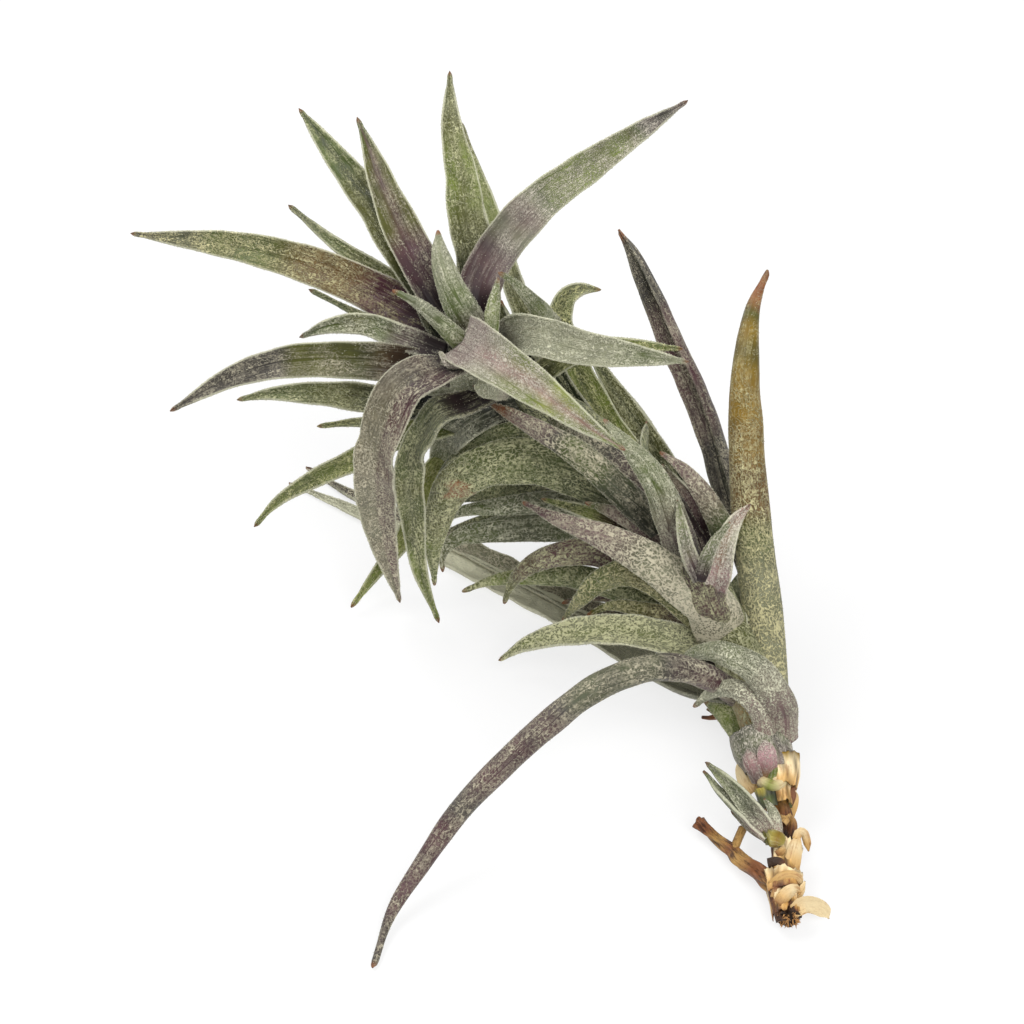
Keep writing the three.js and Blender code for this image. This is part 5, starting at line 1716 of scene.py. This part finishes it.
UPPER_SHEATH = Offshoot(
    "dry_sheath_upper", "upper_paper_sheath", "dry_sheath", first=400,
    wraps=(
        Wrap(((47.6, -80, 5.3, 2.2), (47.2, -77, 6.1, 2.5), (46.8, -74.6, 7.2, 3),
              (46.2, -72.6, 8.2, 3.7)), -165, 330, "straw husk cream gold knob", torn=0.6, flare=0.2),
        Wrap(((46.9, -80.8, 5.3, 1.9), (46.6, -78.6, 6, 2.1), (46.2, -76.8, 7, 2.3)), -110, 125,
             "slate fern slate knob", torn=0.2, flare=0.1, lift=0.5),
        Wrap(((48, -77, 6.6, 2.3), (48, -73.6, 7.8, 3.1), (47.6, -71.2, 9, 3.4)), -20, 125,
             "straw husk cream cream gold", torn=0.5, flare=0.3, lift=0.5),
    ),
    blades=(
        scrap(1.9, 190, "lime cream lime cream lime", (44.3, -74.9, 8.5), (44.9, -77.5, 9.4),
              (46.6, -78.6, 9.6), (48.3, -77.5, 9.2), (49.4, -75.2, 8.2), thick=0.4),
        scrap(1.2, 120, "gold cream husk", (45.4, -75.8, 9.4), (46.9, -77, 9.8), (48.6, -76, 9.4)),
        scrap(1.6, 120, "straw husk cream", (50.1, -71.2, 10.2), (50.5, -72.9, 8.6), (50.3, -75.7, 6.6),
              (49.9, -78, 5.6)),
        scrap(4.4, 90, "husk cream cream", (43.9, -76.4, 5.6), (42.7, -74.6, 6.4), (41.6, -72.2, 7),
              (41.4, -70, 7.4), base=0.7, taper=3),
        scrap(1.2, 90, "moss fern leaf", (49.5, -80.4, 5.6), (49.2, -78.5, 6.6), (48.6, -77.1, 7.6)),
        scrap(1.9, 150, "char bark rust", (49.5, -79.9, 5.4), (49.9, -78.5, 6.2), (50.3, -77.3, 7),
              (51.1, -76.8, 6.8)),
        scrap(1.8, 90, "straw husk cream", (49.6, -81.4, 4.8), (50.4, -79.4, 5.4), (50.8, -77.8, 6),
              (50.6, -76.6, 6.2), taper=4),
    ),
)

LOWER_SHEATH = Offshoot(
    "dry_sheath_lower", "lower_paper_sheath", "dry_sheath", first=420,
    wraps=(
        Wrap(((47.9, -102.8, 3, 2.15), (47.7, -99.4, 3, 2.3), (47.5, -96, 3.2, 2.4)), -110, 260,
             "bark straw husk cream bark", torn=0.9, flare=0.4),
        Wrap(((47.6, -98.2, 3.1, 2.5), (47.6, -95.4, 3.3, 2.5), (47.8, -93.4, 3.6, 2.6)), -75, 215,
             "bark straw husk cream", torn=0.8, flare=0.5, lift=0.4),
        Wrap(((47.7, -95, 3.2, 2.3), (48, -91, 3.7, 2.2), (48.5, -87.6, 4.2, 2.2)), -45, 175,
             "bark straw husk cream cream", torn=1.2, flare=0.7, lift=0.35),
    ),
    blades=(
        scrap(3.4, 60, "straw husk cream husk", (48.6, -94.4, 4.8), (49.3, -92, 6), (50, -89.6, 6.8),
              (50.7, -87.4, 7.4), taper=3),
        scrap(1.5, 110, "husk cream husk straw", (50.1, -88.6, 7), (50.7, -87.4, 7.6),
              (51.5, -87.4, 7.4), (52, -88.2, 6.4), (52.4, -89.4, 4.6), taper=9),
        scrap(1.3, 90, "bark straw cream", (46.5, -91.5, 6.4), (47.4, -91.1, 7), (47.7, -89.7, 7.2)),
        # Painted shade: this char strip lies where the sheath gapes, and its dark tones stand for the
        # shade inside that hole.
        scrap(2.6, 60, "char char bark", (45, -93.2, 5.4), (46.4, -93.4, 6.1), (48.2, -94.2, 5.9)),
        scrap(2.2, 100, "straw husk cream", (45.4, -97.3, 4.6), (47.5, -96.4, 6.2), (50, -96, 5.4),
              (50.9, -96.6, 4)),
        scrap(2.4, 120, "bark husk cream husk", (46.4, -101.6, 5.2), (47.6, -100.2, 6.4),
              (49.4, -99, 6.2), (50.3, -98.9, 5.2)),
        scrap(2, 90, "husk bark straw", (46, -99.6, 4.6), (46.4, -97.6, 5.6), (46.2, -95.6, 5.8)),
        scrap(1, 60, "husk cream", (49.9, -98.7, 4.6), (50.8, -97.3, 5), (51.2, -96.4, 5.2), taper=2),
        scrap(1, 60, "straw cream", (49.9, -99.5, 4.2), (50.7, -98, 4.6), (51.1, -96.8, 4.8), taper=2),
        scrap(3, 60, "husk cream cream cream", (48.6, -102.6, 4.6), (51, -101, 4.6), (53.2, -100.6, 3.4),
              (54.6, -100.9, 2.2), (55.3, -101.6, 1.2), face=FRONT, base=0.8, taper=9),
    ),
)

BRACTS = Offshoot(
    "base_bracts", "pink_base_bracts", "leaf_rose", first=440,
    wraps=(
        Wrap(((46.3, -73.6, 7.8, 3.9), (45.9, -71.6, 8.8, 4.6), (45, -69.2, 9.8, 5.2),
              (44.6, -67, 10.6, 5)), -165, 330, "moss mauve slate fern slate forest",
             torn=0.3, flare=0.1, scurf=0.8),
    ),
    blades=(
        Blade("base_bracts", 3.6, 80, BACK, "gold rose pink mauve", (0.1, 0.5, 0.75), base=1, taper=7,
              burnt=0.1,
              route=((45.4, -76, 8.6), (45.6, -75.2, 12), (45.3, -73.6, 14), (45.2, -72, 14.6))),
        Blade("base_bracts", 3, 110, BACK, "plum mauve rose mauve", (0.4, 0.55, 0.7), base=1, taper=7,
              burnt=0.1, route=((44.4, -76.2, 8.4), (43.4, -75.8, 10.8), (42.5, -74.3, 12.2),
                                (42.2, -72.6, 12.6))),
        Blade("base_bracts", 1.8, 90, BACK, "lime leaf lime", (0.1, 0.2, 0.3), base=1, burnt=0.1,
              route=((46.6, -76.8, 9.2), (46.7, -75.6, 10.8), (46.3, -74.2, 11.6))),
    ),
)

PUP = Offshoot(
    "pup", "offshoot", "leaf_silver", first=460,
    blades=(
        Blade("pup", 3.7, 120, (-0.5, -0.6, 0.6), "rose mauve slate fern leaf fern", (0.8, 0.6, 0.45),
              channel="forest",
              route=((46.2, -88, 7), (42.8, -84, 9), (39.2, -79.2, 10), (34.8, -72.6, 9))),
        Blade("pup", 3.7, 120, (0.4, 0.3, 0.8), "rose mauve slate fern leaf fern", (0.8, 0.6, 0.45),
              channel="forest",
              route=((45.2, -88.6, 7), (41, -84, 8), (37.2, -79, 8.4), (34.4, -73.8, 8))),
        Blade("pup", 2.1, 100, BACK, "rose silver fern", (0.8, 0.8, 0.6), burnt=0.4,
              route=((46.8, -88.2, 8), (46.2, -84.8, 9.4), (44.8, -81.4, 9.4))),
        Blade("pup", 2, 100, BACK, "mauve mauve silver", (0.7, 0.8, 0.8),
              route=((45.2, -88, 6.6), (42.4, -85, 6), (39.2, -80.8, 5.4))),
    ),
    rods=(Rod(((44.4, -88.6, 7.2, 1.2), (45.2, -88.5, 7.4, 1.5), (46.2, -88.7, 7.4, 1.6),
               (47.4, -89.1, 7.3, 1.3), (48, -89.3, 7.2, 0.7)), "moss knob gold knob", scurf=0.05,
              knobbly=0.02, ridge=0.01),),
)


@dataclass(frozen=True)
class Studio:
    """Pale floor, soft light and the camera of the photograph.

    Attributes:
        eye: Place of the camera, in millimetres in the frame of the routes.
        lens: Focal length on a 36 mm sensor, in millimetres.
        floor: Colour of the floor under its own even light.
        glow: Light that the backlit floor gives off, which keeps the shadows faint.
        width: Width of the floor, in metres.
        surround: Strength of the even white surround.
        lamps: Name, place and size in metres, and power in watts, of each soft light.
    """

    eye: Point = (0, -402.3, 402.3)
    lens: float = 100
    floor: str = "#7f7f7f"
    glow: float = 0.74
    width: float = 6.0
    surround: float = 0.48
    lamps: tuple[tuple[str, Point, float, float], ...] = (
        ("key", (-0.26, 0.2, 0.5), 0.4, 2.9), ("fill", (0.3, -0.5, 0.6), 0.7, 5.2))

    def build(self) -> None:
        """Adds the floor, the lights and the camera."""
        self._floor()
        self._lights()
        camera = linked("camera", bpy.data.cameras.new("camera"))
        camera.data.lens = self.lens
        camera.data.sensor_width = 36
        camera.data.clip_start = 0.01
        place = Vector((np.array(self.eye) - ORIGIN) * MM)
        aim = Vector(-ORIGIN * MM)
        camera.location = place
        camera.rotation_euler = (aim - place).to_track_quat("-Z", "Y").to_euler()
        bpy.context.scene.camera = camera
        bpy.context.scene.view_settings.view_transform = "Standard"

    def _floor(self) -> None:
        """Adds the pale floor."""
        mesh = bpy.data.meshes.new("floor")
        half = self.width / 2
        corners = [(-half, -half, 0), (half, -half, 0), (half, half, 0), (-half, half, 0)]
        mesh.from_pydata(corners, [], [(0, 1, 2, 3)])
        floor = linked("floor", mesh)
        material, tree = new_material("floor_paper")
        surface = add(tree, "ShaderNodeBsdfPrincipled",
                      {"Base Color": linear(self.floor), "Roughness": 0.9, "Specular IOR Level": 0.0,
                       "Emission Color": (1, 1, 1, 1), "Emission Strength": self.glow})
        add(tree, "ShaderNodeOutputMaterial", {"Surface": surface})
        mesh.materials.append(material)

    def _lights(self) -> None:
        """Adds an even white surround and two large soft lights."""
        world = bpy.data.worlds.new("surround")
        world.use_nodes = True
        world.node_tree.nodes.clear()
        glow = add(world.node_tree, "ShaderNodeBackground",
                   {"Color": (1, 1, 1, 1), "Strength": self.surround})
        add(world.node_tree, "ShaderNodeOutputWorld", {"Surface": glow})
        bpy.context.scene.world = world
        for name, place, size, power in self.lamps:
            light = bpy.data.lights.new(name, "AREA")
            light.shape = "DISK"
            light.size = size
            light.energy = power
            holder = linked(name, light)
            holder.location = place
            holder.rotation_euler = (-Vector(place)).to_track_quat("-Z", "Y").to_euler()


# The last number of each group is how much painted shade darkens its blades towards the root.
GROUPS = (
    LeafGroup("old_leaves", OLD_LEAVES, 0.2),
    LeafGroup("lower_leaves", LOWER_LEAVES, 0.15),
    LeafGroup("shoot_leaves", SHOOT_LEAVES, 0.75),
    LeafGroup("crown_leaves", CROWN_LEAVES, 0.85),
    LeafGroup("stem_leaves", STEM_LEAVES, 0.75),
)


def main() -> None:
    """Builds the plant group by group, then the studio."""
    logging.basicConfig(level=logging.INFO, format="%(name)s: %(message)s")
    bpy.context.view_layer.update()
    slots = {part["node"]: part["material_slot"] for part in frame["record"]["subparts"]}
    materials = {slot.value: finish.material() for slot, finish in LEAF_FINISHES.items()}
    materials |= {finish.slot: finish.material() for finish in (BARK, HUSK)}
    Stem().build(materials)
    for part in (UPPER_SHEATH, LOWER_SHEATH, BRACTS, PUP):
        part.build(slots, materials)
    trichomes = Trichomes()
    tree = trichomes.tree()
    white = TrichomeFinish().material()
    first = 0
    for group in GROUPS:
        leaves = group.build(first, slots, materials)
        first += len(group.blades)
        scales = trichomes.sow(leaves, f"{group.name}_trichomes", tree, white)
        hand_over(scales, slots[group.blades[0].node])
    for name, node in frame["nodes"].items():
        node.data.materials.clear()
        node.data.materials.append(materials[slots[name]])
    Studio().build()


if __name__ == "__main__":
    main()
